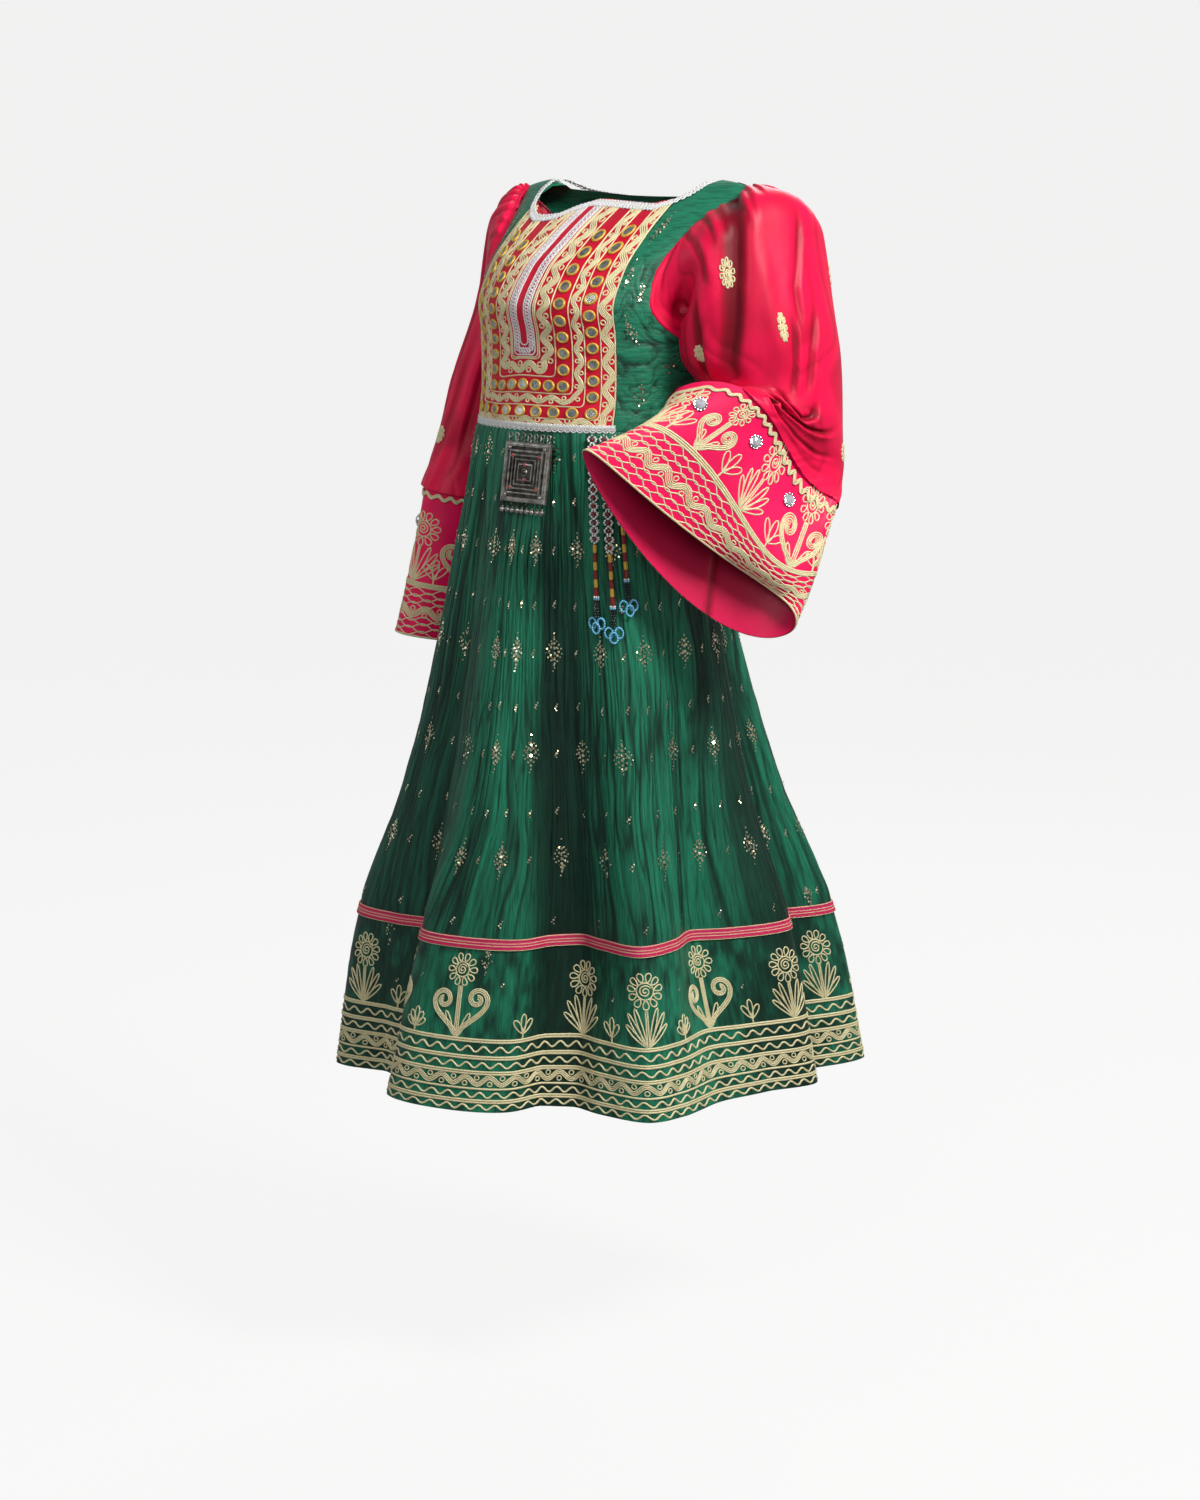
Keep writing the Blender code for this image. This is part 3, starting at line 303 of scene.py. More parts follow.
def skirt(a, z):
    """Plain skirt: a counts the rows of the fold table around the dress, z is the height."""
    marks = np.arange(-2, FOLD_COUNT + 3)
    turns = np.where(marks < 0, -360.0, np.where(marks >= FOLD_COUNT, 360.0, 0.0))
    rows = FOLDS[marks % FOLD_COUNT]
    a = a - np.floor(a / FOLD_COUNT) * FOLD_COUNT
    angles = [np.radians(smooth(marks, rows[:, c] + turns, a)) for c in (0, 0, 2, 4)]
    waist = 1.0 / np.sqrt((np.sin(angles[0]) / 0.135) ** 2 + (np.cos(angles[0]) / 0.100) ** 2)
    angle = blend(z, angles)
    radius = blend(z, [waist] + [smooth(marks, rows[:, c], a) for c in (1, 3, 5)])
    x = read(LEVELS[::-1], 1, z) + radius * np.sin(angle)
    y = read(LEVELS[::-1], 2, z) - radius * np.cos(angle)
    return np.stack([x, y, z + 0 * x], -1)


def armhole(turn, hand):
    down = np.where(turn < 0.5, turn * 2, 2 - turn * 2)
    z = 0.006 - 0.184 * 0.5 * (1 - np.cos(np.pi * down))
    front = torso_point(hand * edge_angle(z, -1), z, -1)
    back = torso_point(hand * edge_angle(z, 1), z, 1)
    return np.where((turn < 0.5)[..., None], front, back)


def section(value, angle):
    """Place on a section: an oval whose corners are lifted and whose outer side is swept."""
    centre, top, front = (np.stack(value[k:k + 3], -1) for k in (0, 3, 6))
    out = np.cos(angle) + value[9] * np.sin(angle) ** 2
    out = out + value[10] * np.sin(2 * angle) * (1 + np.cos(angle)) / 2
    return centre + top * out[..., None] + front * np.sin(angle)[..., None]


def sleeve(table, hand):
    """Sleeve: a runs once around from the shoulder side, b from the armhole to the cuff seam."""
    def surface(a, b):
        a, b = a + 0 * b, b + 0 * a
        turn = a % 1.0
        ring = section([read(table, c, b) for c in range(1, 12)], 2 * np.pi * turn)
        start = armhole(turn, hand)
        start[..., 0] += hand * (SLEEVE_SEAM + 0.06 * np.maximum(b, 0))
        share = ease(b / 0.22)[..., None]
        shape = start * (1 - share) + ring * share
        body = torso_half_width(shape[..., 1], shape[..., 2])
        body = np.where(shape[..., 2] < -0.285, 0, body + SLEEVE_CLEAR * np.clip(b / 0.10, 0.25, 1))
        shape[..., 0] = hand * np.maximum(hand * shape[..., 0], body)
        return shape
    return surface


def cuff(table, rim):
    """Bell cuff: a runs once around, b from the sleeve end to the rim."""
    start = table[-1, 1:]

    def surface(a, b):
        a, b = a + 0 * b, b + 0 * a
        swell = np.clip(b, 0, 1) ** 1.15
        value = [start[c] + (rim[c] - start[c]) * (b if c < 3 else swell) for c in range(11)]
        away = (a - rim[11] + 0.5) % 1.0 - 0.5
        share = np.exp(-(away / rim[12]) ** 2)[..., None]
        half, end = np.sin(np.pi * b)[..., None], (b * b)[..., None]
        return section(value, 2 * np.pi * a) + share * (rim[13:16] * half + rim[16:19] * end)
    return surface


def neck_points(side, across, width):
    turn = ease((np.abs(across) - 0.104) / 0.016)
    x = across + np.sign(across) * width * turn
    z = top_height(across, side) - 0.001 - width * (1 - turn)
    return torso_point(np.arcsin(x / read(TORSO, 1, z)), z, side)


# Irregular creases
NOISE = {}


def noise(x, y, seed, wrap=512):
    """Smooth value noise over two coordinates, -1 to 1, repeating after wrap cells along x."""
    if seed not in NOISE:
        NOISE[seed] = np.random.default_rng(seed).uniform(-1, 1, (512, 128))
    table = NOISE[seed]
    x, y = x + 0 * y, y + 0 * x
    i, j = np.floor(x).astype(int), np.floor(y).astype(int)
    u, v = ease(x - i), ease(y - j)
    i0, i1, j0, j1 = i % wrap, (i + 1) % wrap, j % 128, (j + 1) % 128
    low = table[i0, j0] * (1 - u) + table[i1, j0] * u
    high = table[i0, j1] * (1 - u) + table[i1, j1] * u
    return low * (1 - v) + high * v


def valley(x, width):
    """Sharp thin valley where a signed noise crosses zero: 0 at its foot, 1 away from it."""
    return 1 - np.exp(-(np.abs(x) / width) ** 0.9)


def skirt_crease(a, z):
    """Crinkles of the skirt, 0 in the sharp valleys and about 1 on the ridges; they give the cloth's height
    and its painted shade.
    """
    n = FOLD_COUNT
    lean = a + 0.17 * noise(a, z * 7, 1, n) + 0.085 * noise(a * 3, z * 17, 5, 3 * n)
    lean = lean + 0.022 * noise(a * 8, z * 46, 9, 8 * n)
    big = valley(noise(lean * 4, z * 4.0, 2, 4 * n), 0.20)
    mid = valley(noise(lean * 8, z * 7.5, 3, 8 * n), 0.16)
    fine = valley(noise(lean * 15, z * 13, 4, 15 * n), 0.20)
    return 0.40 * big + 0.36 * mid + 0.24 * fine


def skirt_rise(a, z):
    """Height of the crinkled cloth above the plain skirt, low where the pendant hangs."""
    below = ease((BRAID_Z - z) / 0.012)
    height = (0.0036 + 0.0006 * ease((z + 0.52) / 0.2)) * (1 - 0.72 * below)
    pinned = np.exp(-((z - BRAID_Z) / 0.012) ** 2) + np.exp(-((z - WAIST_Z) / 0.006) ** 2)
    fold = a % FOLD_COUNT
    hung = ease((fold - 5.9) / 0.7) * ease((10.5 - fold) / 0.7) * ease((z + 0.40) / 0.03)
    soft = 0.0003 * noise(a * 2, z * 90, 6, 2 * FOLD_COUNT) * (1 - 0.5 * pinned)
    crease = height * skirt_crease(a, z) * (1 - 0.7 * np.clip(pinned, 0, 1)) * (1 - 0.68 * hung)
    return SKIRT_CLOTH + crease + soft


def painted_fold_light(a, z):
    """Painted light of the large folds of the skirt: 0 for full painted shade in the troughs, 1 for none on
    the crests.
    """
    marks = np.arange(-2, FOLD_COUNT + 3)
    return smooth(marks, FOLDS[marks % FOLD_COUNT, 6], a % FOLD_COUNT) + 0 * z


# Meshes
class Build:
    """Corners and faces of one piece, gathered from arrays."""

    def __init__(self):
        self.points, self.faces, self.kinds, self.flat = [], [], [], []
        self.count = 0

    def add(self, points, faces, kind=0, flat=None):
        points = np.asarray(points, float).reshape(-1, 3)
        faces = np.asarray(faces, int)
        flat = np.zeros((len(points), 2)) if flat is None else np.asarray(flat, float)
        self.points.append(points)
        self.faces.append(faces + self.count)
        self.kinds.append(np.full(len(faces), kind))
        self.flat.append(flat.reshape(-1, 2))
        self.count += len(points)

    def make(self, name, looks, slot, node=None, body="dress", shade=True):
        """Object on a body, with the solid that it replaces, if any, hidden; its slot is not used."""
        points = np.concatenate(self.points)
        corners = np.concatenate([f.ravel() for f in self.faces])
        sizes = np.concatenate([np.full(len(f), f.shape[1]) for f in self.faces])
        mesh = bpy.data.meshes.new(name)
        mesh.vertices.add(len(points))
        mesh.vertices.foreach_set("co", points.ravel())
        mesh.loops.add(len(corners))
        mesh.loops.foreach_set("vertex_index", corners)
        mesh.polygons.add(len(sizes))
        mesh.polygons.foreach_set("loop_start", np.concatenate([[0], np.cumsum(sizes)[:-1]]))
        mesh.polygons.foreach_set("loop_total", sizes)
        mesh.polygons.foreach_set("material_index", np.concatenate(self.kinds))
        mesh.update(calc_edges=True)
        mesh.polygons.foreach_set("use_smooth", np.full(len(sizes), shade))
        layer = mesh.uv_layers.new(name="cloth")
        layer.data.foreach_set("uv", np.concatenate(self.flat)[corners].ravel())
        for look in looks:
            mesh.materials.append(LOOK[look])
        item = bpy.data.objects.new(name, mesh)
        bpy.context.scene.collection.objects.link(item)
        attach(item, body)
        if node:
            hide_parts(node)
        return item


def grid_faces(rows, columns, wrap=False, turned=False):
    r, c = np.meshgrid(np.arange(rows - 1), np.arange(columns if wrap else columns - 1), indexing="ij")
    d = (c + 1) % columns
    low, high = r * columns, (r + 1) * columns
    quads = np.stack([low + c, low + d, high + d, high + c], -1).reshape(-1, 4)
    return quads[:, ::-1] if turned else quads


def shell(name, node, points, look, slot, flat, depth=1.0, wrap=False, turned=False):
    """Thin cloth over a grid whose rows go upwards or away; depth is its painted shade in the creases, from 0
    darkest to 1 unshaded.
    """
    piece = Build()
    piece.add(points, grid_faces(*points.shape[:2], wrap, turned), 0, flat)
    item = piece.make(name, [look], slot, node)
    # Painted shade: the crease attribute darkens the cloth in its creases
    painted_shade_mark = item.data.attributes.new("crease", "FLOAT", "POINT")
    painted_shade_mark.data.foreach_set("value", np.clip(np.broadcast_to(depth, points.shape[:2]), 0, 1).ravel())
    return item


def add_balls(piece, centres, radius, kind=0, around=7, rows=4):
    """Small spheres around given places."""
    tilt = np.linspace(-np.pi / 2, np.pi / 2, rows + 1)[1:-1]
    u, v = np.meshgrid(ring_turns(around), tilt)
    points = np.stack([np.cos(u) * np.cos(v), np.sin(u) * np.cos(v), np.sin(v)], -1).reshape(-1, 3)
    points = np.concatenate([points, [-UP, UP]])
    k = np.arange(around)
    last = (rows - 2) * around
    foot = np.stack([(k + 1) % around, k, np.full(around, len(points) - 2)], -1)
    top = np.stack([last + k, last + (k + 1) % around, np.full(around, len(points) - 1)], -1)
    centres = np.asarray(centres, float).reshape(-1, 3)
    shift = (np.arange(len(centres)) * len(points))[:, None, None]
    start = piece.count
    quads = grid_faces(rows - 1, around, True)
    piece.add(centres[:, None] + points * radius, (quads + shift).reshape(-1, 4), kind)
    piece.faces.append((np.concatenate([foot, top]) + shift).reshape(-1, 3) + start)
    piece.kinds.append(np.full(2 * around * len(centres), kind))


def add_ring(piece, centre, axis, radius, wire, kind=0, around=16, rows=6):
    """Torus around an axis."""
    axis = unit(np.asarray(axis, float))
    other = np.array([1.0, 0, 0]) if abs(axis[0]) < 0.8 else np.array([0, 1.0, 0])
    first = unit(np.cross(axis, other))
    second = np.cross(axis, first)
    u, v = np.meshgrid(ring_turns(around), ring_turns(rows))
    out = first * np.cos(u)[..., None] + second * np.sin(u)[..., None]
    points = centre + out * (radius + wire * np.cos(v))[..., None]
    k, last = np.arange(around), (rows - 1) * around
    after = (k + 1) % around
    faces = np.concatenate([grid_faces(rows, around, True), np.stack([last + k, last + after, after, k], -1)])
    piece.add(points + axis * (wire * np.sin(v))[..., None], faces, kind)


class Cords:
    """Flat lines that are laid on a surface as raised cords."""

    def __init__(self):
        self.lines = []

    def add(self, points, wide=0.00105, closed=False, kind=0):
        self.lines.append((np.asarray(points, float), wide, closed, kind))

    def lay(self, piece, place, lift=0.0, sunk=0.0004):
        """Sweep a half round section along each line; place gives points and outward directions."""
        spots, out = place(np.concatenate([line[0] for line in self.lines]))
        at = 0
        turn = np.radians([0, 55, 125, 180])
        up = np.maximum(np.sin(turn), 0)
        for points, wide, closed, kind in self.lines:
            n = len(points)
            p, o = spots[at:at + n], out[at:at + n]
            at += n
            ahead = np.roll(p, -1, axis=0) - np.roll(p, 1, axis=0)
            if not closed:
                ahead[0] = p[1] - p[0]
                ahead[-1] = p[-1] - p[-2]
            side = unit(np.cross(o, ahead))
            ring = p[:, None] + side[:, None] * (wide * np.cos(turn))[None, :, None]
            ring = ring + o[:, None] * (lift - sunk + (wide + sunk) * up)[None, :, None]
            r, c = np.meshgrid(np.arange(n if closed else n - 1), np.arange(3), indexing="ij")
            d = (r + 1) % n
            quads = np.stack([r * 4 + c, r * 4 + c + 1, d * 4 + c + 1, d * 4 + c], -1)
            piece.add(ring, quads.reshape(-1, 4), kind)

    def make(self, place, name, node=None, looks=("gold",), slot="gold_braid"):
        """Piece of cords alone."""
        piece = Build()
        self.lay(piece, place)
        return piece.make(name, looks, slot, node)


# Flat ornament, in metres
def resample(points, step):
    points = np.asarray(points, float)
    far = lengths(points)
    s = np.linspace(0, far[-1], max(int(round(far[-1] / step)), 2) + 1)
    return np.stack([np.interp(s, far, points[:, 0]), np.interp(s, far, points[:, 1])], -1), s


def beside(points, distance):
    """The line moved sideways to its left."""
    ahead = unit(np.gradient(points, axis=0))
    distance = np.broadcast_to(distance, len(points))
    return points + np.stack([-ahead[:, 1], ahead[:, 0]], -1) * distance[:, None]


def petal(base, angle, length, width, count=13):
    """Closed loop from a base point outwards; angle 0 is up."""
    u = np.linspace(0, 2 * np.pi, count)
    far = length * (1 - np.cos(u)) / 2
    across = width / 2 * np.sin(u) * (0.45 + 0.55 * far / length)
    way = np.array([math.sin(angle), math.cos(angle)])
    side = np.array([math.cos(angle), -math.sin(angle)])
    return np.asarray(base) + far[:, None] * way + across[:, None] * side


def spiral(centre, first, last, start, turns, count=None):
    u = np.linspace(0, 1, count or int(16 * abs(turns)) + 4)
    radius = first + (last - first) * u
    angle = start + 2 * np.pi * turns * u
    return np.asarray(centre) + np.stack([radius * np.cos(angle), radius * np.sin(angle)], -1)


def flower(cords, place, centre, radius, petals=11):
    """Round head: a ring of petal loops around a coiled middle."""
    centre = np.asarray(centre, float)
    for k in range(petals):
        angle = 2 * np.pi * (k + 0.5) / petals
        base = centre + 0.50 * radius * np.array([math.sin(angle), math.cos(angle)])
        cords.add(place(petal(base, angle, 0.50 * radius, 0.43 * radius, 11)), 0.00095)
    cords.add(place(spiral(centre, 0.46 * radius, 0.46 * radius, 0, 1, 20)), 0.00095)
    cords.add(place(spiral(centre, 0.34 * radius, 0.04 * radius, 0.5, 1.9)), 0.00095)


def scroll(cords, place, side, width, height, radius):
    """One half of a scroll heart: three cords out, up and coiled inwards."""
    t = np.linspace(0, 1, 14)[:, None]
    tip = np.array([width, height - radius])
    b, c = np.array([0.30 * width, 0.30 * height]), np.array([width, 0.42 * height])
    rise = 3 * b * t * (1 - t) ** 2 + 3 * c * t ** 2 * (1 - t) + tip * t ** 3
    coil = spiral((width - radius, height - radius), radius, 0.30 * radius, 0, 1.25)
    path = np.concatenate([rise[:-1], coil])
    for step in (0.0, 0.0021, 0.0042):
        cords.add(place(beside(path, step) * np.array([side, 1.0])))


def sprig(cords, place, size, count=3):
    cords.add(place(np.array([[0, 0], [0, 0.25 * size]])), 0.0012)
    spread = (count - 1) / 2
    for k in range(count):
        angle = (k - spread) * math.radians(34 if count < 4 else 26)
        length = size * (0.78 - 0.12 * abs(k - spread))
        cords.add(place(petal((0, 0.2 * size), angle, length, 0.0085, 13)), 0.00095)


def stems(cords, place, offsets, height):
    for x in offsets:
        cords.add(place(np.array([[x, 0.0], [x, height / 2], [x, height]])))


def motif(cords, place, kind, size=1.0):
    """Tall motif standing on a line: a flower with leaves or a flower in a scroll heart."""
    if kind == "leaves":
        for side in (-1, 1):
            for angle, share in ((15, 1.0), (29, 0.94), (45, 0.74)):
                leaf = petal((side * 0.0012, 0.001), side * math.radians(angle), 0.046 * size * share,
                             0.0066, 15)
                cords.add(place(leaf), 0.00100)
        stems(cords, place, (-0.0011, 0.0011), 0.044 * size)
        flower(cords, place, (0, 0.066 * size), 0.0215 * size)
    else:
        for side, width, height in ((1, 0.0375, 0.0610), (-1, 0.0345, 0.0570)):
            scroll(cords, place, side, width * size, height * size, 0.0145 * size)
            leaf = petal((side * 0.003, 0.002), side * math.radians(24), 0.030 * size, 0.0066)
            cords.add(place(leaf), 0.00100)
        for x in (-0.0021, 0.0, 0.0021):
            cords.add(place(np.array([[x, 0.0], [x, 0.03 * size], [x, 0.061 * size]])))
        flower(cords, place, (0, 0.080 * size), 0.0195 * size, 10)


def wave(length, level, height, span, step=0.0022, start=0.0, phase=0.0):
    """Even wave along a straight line."""
    x = np.linspace(start, start + length, int(length / step) + 1)
    return np.stack([x, level + height * np.sin(2 * np.pi * x / span + phase)], -1)


def line(length, level, start=0.0, step=0.0032):
    x = np.linspace(start, start + length, int(length / step) + 1)
    return np.stack([x, np.full(len(x), level)], -1)


def along_path(path, height, span, phase=0.0, step=0.0021):
    """Wave that follows a path, the path's points, their lengths and the count of waves."""
    points, s = resample(path, step)
    count = max(round(s[-1] / span), 1)
    return beside(points, height * np.sin(2 * np.pi * count * s / s[-1] + phase)), points, s, count


def vine(cords, path, height, span, curl, cords_wide=2):
    """Band of parallel waving cords with a small curl in each hollow."""
    wavy, points, s, count = along_path(path, height, span, 0.0, 0.0020)
    for k in range(cords_wide):
        cords.add(beside(wavy, (k - (cords_wide - 1) / 2) * 0.0020), 0.00100)
    for k in range(2 * count):
        i = int(np.argmin(np.abs(s - (k + 0.5) / (2 * count) * s[-1])))
        way = -1 if k % 2 == 0 else 1
        spot = beside(points, way * (height - 0.35 * curl))[i]
        cords.add(spiral(spot, curl, curl, k * 2.0, 1, 11), 0.00090)


# Materials
def settle(node, values):
    for name, value in values.items():
        node.inputs[name].default_value = value


def material(name, colour, rough, metallic=0.0, more=None):
    look = bpy.data.materials.new(name)
    look.use_nodes = True
    shader = look.node_tree.nodes["Principled BSDF"]
    settle(shader, {"Base Color": (*colour, 1.0), "Roughness": rough, "Metallic": metallic, **(more or {})})
    look.diffuse_color = (*colour, 1.0)
    return look, look.node_tree, shader


def coordinates(tree, source="Object", scale=(1, 1, 1)):
    place = tree.nodes.new("ShaderNodeTexCoord")
    mapping = tree.nodes.new("ShaderNodeMapping")
    mapping.inputs["Scale"].default_value = scale
    tree.links.new(place.outputs[source], mapping.inputs["Vector"])
    return mapping.outputs["Vector"]


def grain(tree, vector, scale, detail=3.0, rough=0.55, distortion=0.0):
    item = tree.nodes.new("ShaderNodeTexNoise")
    settle(item, {"Scale": scale, "Detail": detail, "Roughness": rough, "Distortion": distortion})
    tree.links.new(vector, item.inputs["Vector"])
    return item.outputs["Fac"]


def ramp(tree, factor, stops):
    item = tree.nodes.new("ShaderNodeValToRGB")
    bar = item.color_ramp
    for end in (0, -1):
        bar.elements[end].position, bar.elements[end].color = stops[end][0], (*stops[end][1], 1.0)
    for place, colour in stops[1:-1]:
        bar.elements.new(place).color = (*colour, 1.0)
    tree.links.new(factor, item.inputs["Fac"])
    return item.outputs["Color"]


def span(tree, factor, low, high):
    item = tree.nodes.new("ShaderNodeMapRange")
    settle(item, {"To Min": low, "To Max": high})
    tree.links.new(factor, item.inputs["Value"])
    return item.outputs["Result"]


def multiply(tree, first, second):
    item = tree.nodes.new("ShaderNodeMix")
    item.data_type = "RGBA"
    item.blend_type = "MULTIPLY"
    item.inputs["Factor"].default_value = 1.0
    tree.links.new(first, item.inputs["A"])
    tree.links.new(second, item.inputs["B"])
    return item.outputs["Result"]


def painted_crease_shade(tree, stops):
    """Painted shade: colour by the crease attribute, darkest in the cloth's own creases."""
    painted_shade_mark = tree.nodes.new("ShaderNodeAttribute")
    painted_shade_mark.attribute_name = "crease"
    return ramp(tree, painted_shade_mark.outputs["Fac"], stops)


def times(share, colour):
    return tuple(share * c for c in colour)


def connect(tree, shader, colour, rough, bumps, distance):
    """Colour, roughness and a chain of bumps into the shader."""
    tree.links.new(colour, shader.inputs["Base Color"])
    tree.links.new(rough, shader.inputs["Roughness"])
    last = None
    for factor, strength in bumps:
        item = tree.nodes.new("ShaderNodeBump")
        settle(item, {"Strength": strength, "Distance": distance})
        tree.links.new(factor, item.inputs["Height"])
        if last is not None:
            tree.links.new(last, item.inputs["Normal"])
        last = item.outputs["Normal"]
    tree.links.new(last, shader.inputs["Normal"])


def taffeta(name, scale, dark, bright):
    """Crushed silky cloth: fine creases one way, a slubby weave and an uneven sheen, with painted shade in
    the creases and painted highlight on their ridges.
    """
    look, tree, shader = material(name, bright, 0.42, 0.0, {
        "Specular IOR Level": 0.30, "Sheen Weight": 0.04, "Sheen Roughness": 0.4})
    fine = grain(tree, coordinates(tree, "UV", scale), 1.0, 4.0, 0.62, 0.6)
    body = coordinates(tree)
    patch = grain(tree, body, 9.0, 2.0)
    weave = grain(tree, body, 900.0, 1.0)
    # Painted shade and highlight: the fine crease pattern darkens its valleys and lightens its ridges, and
    # the crease attribute paints the shade colour in the creases and a lit colour, brighter still on the
    # ridges
    cloth = ramp(tree, fine, [(0.36, (0.55, 0.55, 0.55)), (0.52, (1, 1, 1)), (0.80, (1.18, 1.18, 1.18))])
    depth = painted_crease_shade(tree, [(0.0, times(0.10, dark)), (0.28, times(0.5, dark)), (0.50, dark),
                           (0.80, bright), (1.0, times(1.3, bright))])
    connect(tree, shader, multiply(tree, depth, cloth), span(tree, patch, 0.38, 0.54),
            [(fine, 0.6), (weave, 0.12)], 0.0012)
    return look


def satin(name, dark, bright, crease=0.35):
    """Smooth silky cloth: crosswise threads, a soft uneven tone that is darker where its bump sinks as
    painted shade, and painted shade in the creases.
    """
    look, tree, shader = material(name, bright, 0.40, 0.0, {
        "Specular IOR Level": 0.22, "Sheen Weight": 0.02, "Sheen Roughness": 0.35})
    patch = grain(tree, coordinates(tree), 14.0, 3.0, 0.55, 0.8)
    weave = grain(tree, coordinates(tree, "UV", (700, 2600, 1)), 1.0, 2.0)
    # Painted shade: the tone darkens where the patch bump sinks, and the crease attribute darkens the creases
    tone = ramp(tree, patch, [(0.30, (0.80, 0.80, 0.80)), (0.60, (1, 1, 1))])
    depth = painted_crease_shade(tree, [(0.0, times(0.42, dark)), (0.40, times(0.8, dark)),
                           (0.80, tuple(0.5 * (c + d) for c, d in zip(dark, bright))), (1.0, bright)])
    connect(tree, shader, multiply(tree, depth, tone), span(tree, weave, 0.36, 0.50),
            [(patch, crease), (weave, 0.05)], 0.003)
    return look


def thread(name, dark, bright, metallic, rough=0.42, size=1500.0):
    """Cord or braid of thread, with a fine twist whose grooves get painted shade, and dull places."""
    look, tree, shader = material(name, bright, rough, metallic)
    body = coordinates(tree)
    twist = grain(tree, body, size, 2.0, 0.6)
    patch = grain(tree, body, 38.0, 2.0)
    # Painted shade: the colour runs from the darker copy in the twist's grooves to the lit one on its ridges
    connect(tree, shader, ramp(tree, twist, [(0.32, dark), (0.56, bright)]),
            span(tree, patch, rough - 0.12, rough + 0.14), [(twist, 0.5)], 0.0004)
    return look


def metal(name, dark, bright, rough):
    """Metal with stains and fine scratches."""
    look, tree, shader = material(name, bright, rough, 1.0)
    body = coordinates(tree)
    stain = grain(tree, body, 130.0, 4.0, 0.65)
    scratch = grain(tree, body, 1100.0, 2.0)
    connect(tree, shader, ramp(tree, stain, [(0.35, dark), (0.62, bright)]),
            span(tree, stain, rough + 0.18, rough - 0.10), [(scratch, 0.25), (stain, 0.2)], 0.0004)
    return look


def bead(name, colour, rough=0.16, metallic=0.0):
    look, tree, shader = material(name, colour, rough, metallic, {"Coat Weight": 0.5, "Coat Roughness": 0.1})
    tone = grain(tree, coordinates(tree), 420.0, 1.0)
    colours = ramp(tree, tone, [(0.35, times(0.75, colour)), (0.65, colour)])
    tree.links.new(colours, shader.inputs["Base Color"])
    return look


LOOK = {
    # For the cloths and the threads, the first colour is the painted shade copy of the second, lit one
    "skirt": taffeta("skirt_taffeta", (620, 26, 1), (0.003, 0.046, 0.026), (0.008, 0.155, 0.082)),
    "bodice": taffeta("bodice_taffeta", (26, 420, 1), (0.003, 0.040, 0.023), (0.007, 0.128, 0.068)),
    "satin": satin("sleeve_satin", (0.40, 0.001, 0.022), (0.80, 0.004, 0.062)),
    "cuff": satin("cuff_satin", (0.50, 0.002, 0.040), (0.84, 0.006, 0.095), 0.15),
    "lining": satin("cuff_lining", (0.30, 0.001, 0.020), (0.74, 0.006, 0.085), 0.15),
    "bib": satin("bib_satin", (0.34, 0.001, 0.012), (0.60, 0.004, 0.030), 0.15),
    "gold": thread("gold_cord", (0.42, 0.36, 0.17), (0.76, 0.68, 0.41), 0.10, 0.5),
    "bright_gold": thread("ring_thread", (0.36, 0.21, 0.02), (0.74, 0.47, 0.07), 0.30),
    "white": thread("white_edging", (0.38, 0.38, 0.40), (0.76, 0.76, 0.75), 0.0, 0.6),
    "pink": thread("pink_braid", (0.34, 0.003, 0.045), (0.66, 0.012, 0.105), 0.0, 0.5, 900.0),
    "mirror": metal("mirror_glass", (0.30, 0.30, 0.27), (0.66, 0.66, 0.60), 0.14),
    "sequin": metal("sequin", (0.62, 0.50, 0.28), (1.0, 0.90, 0.66), 0.24),
    "silver": metal("aged_silver", (0.16, 0.15, 0.13), (0.50, 0.48, 0.44), 0.38),
    "dark": metal("dark_relief", (0.022, 0.020, 0.018), (0.11, 0.10, 0.085), 0.48),
    "setting": metal("stone_setting", (0.30, 0.29, 0.30), (0.80, 0.80, 0.82), 0.20),
    "stone": bead("clear_stone", (0.74, 0.76, 0.82), 0.04, 0.55),
    "red_stone": bead("red_stone", (0.45, 0.010, 0.015)),
    "bead_white": bead("bead_white", (0.86, 0.84, 0.82)),
    "bead_red": bead("bead_dark_red", (0.22, 0.004, 0.010)),
    "bead_gold": bead("bead_gold", (0.85, 0.52, 0.08), 0.2, 0.6),
    "bead_black": bead("bead_black", (0.010, 0.010, 0.016)),
    "bead_blue": bead("bead_light_blue", (0.16, 0.52, 0.78)),
}


# Skirt

# Length around it at the border, by the rows of the fold table
ROUND_A = np.linspace(0, FOLD_COUNT, 5401)
ROUND_S = lengths(skirt(ROUND_A, np.full(ROUND_A.shape, -0.96)))
HEM_LENGTH = ROUND_S[-1]
SEAM_S = float(np.interp(SIDE_FOLD, ROUND_A, ROUND_S))


def around_skirt(flat):
    return np.interp(flat[:, 0] % HEM_LENGTH, ROUND_S, ROUND_A)


def on_skirt(flat):
    """Place on the crinkled skirt by the length around it at the border and by the height."""
    a, z = around_skirt(flat), flat[:, 1]
    return raised(skirt, a, z, SKIRT_STEPS, 1, skirt_rise(a, z))


def on_braid(flat):
    return raised(skirt, around_skirt(flat), flat[:, 1], SKIRT_STEPS, 1, 0.0040)


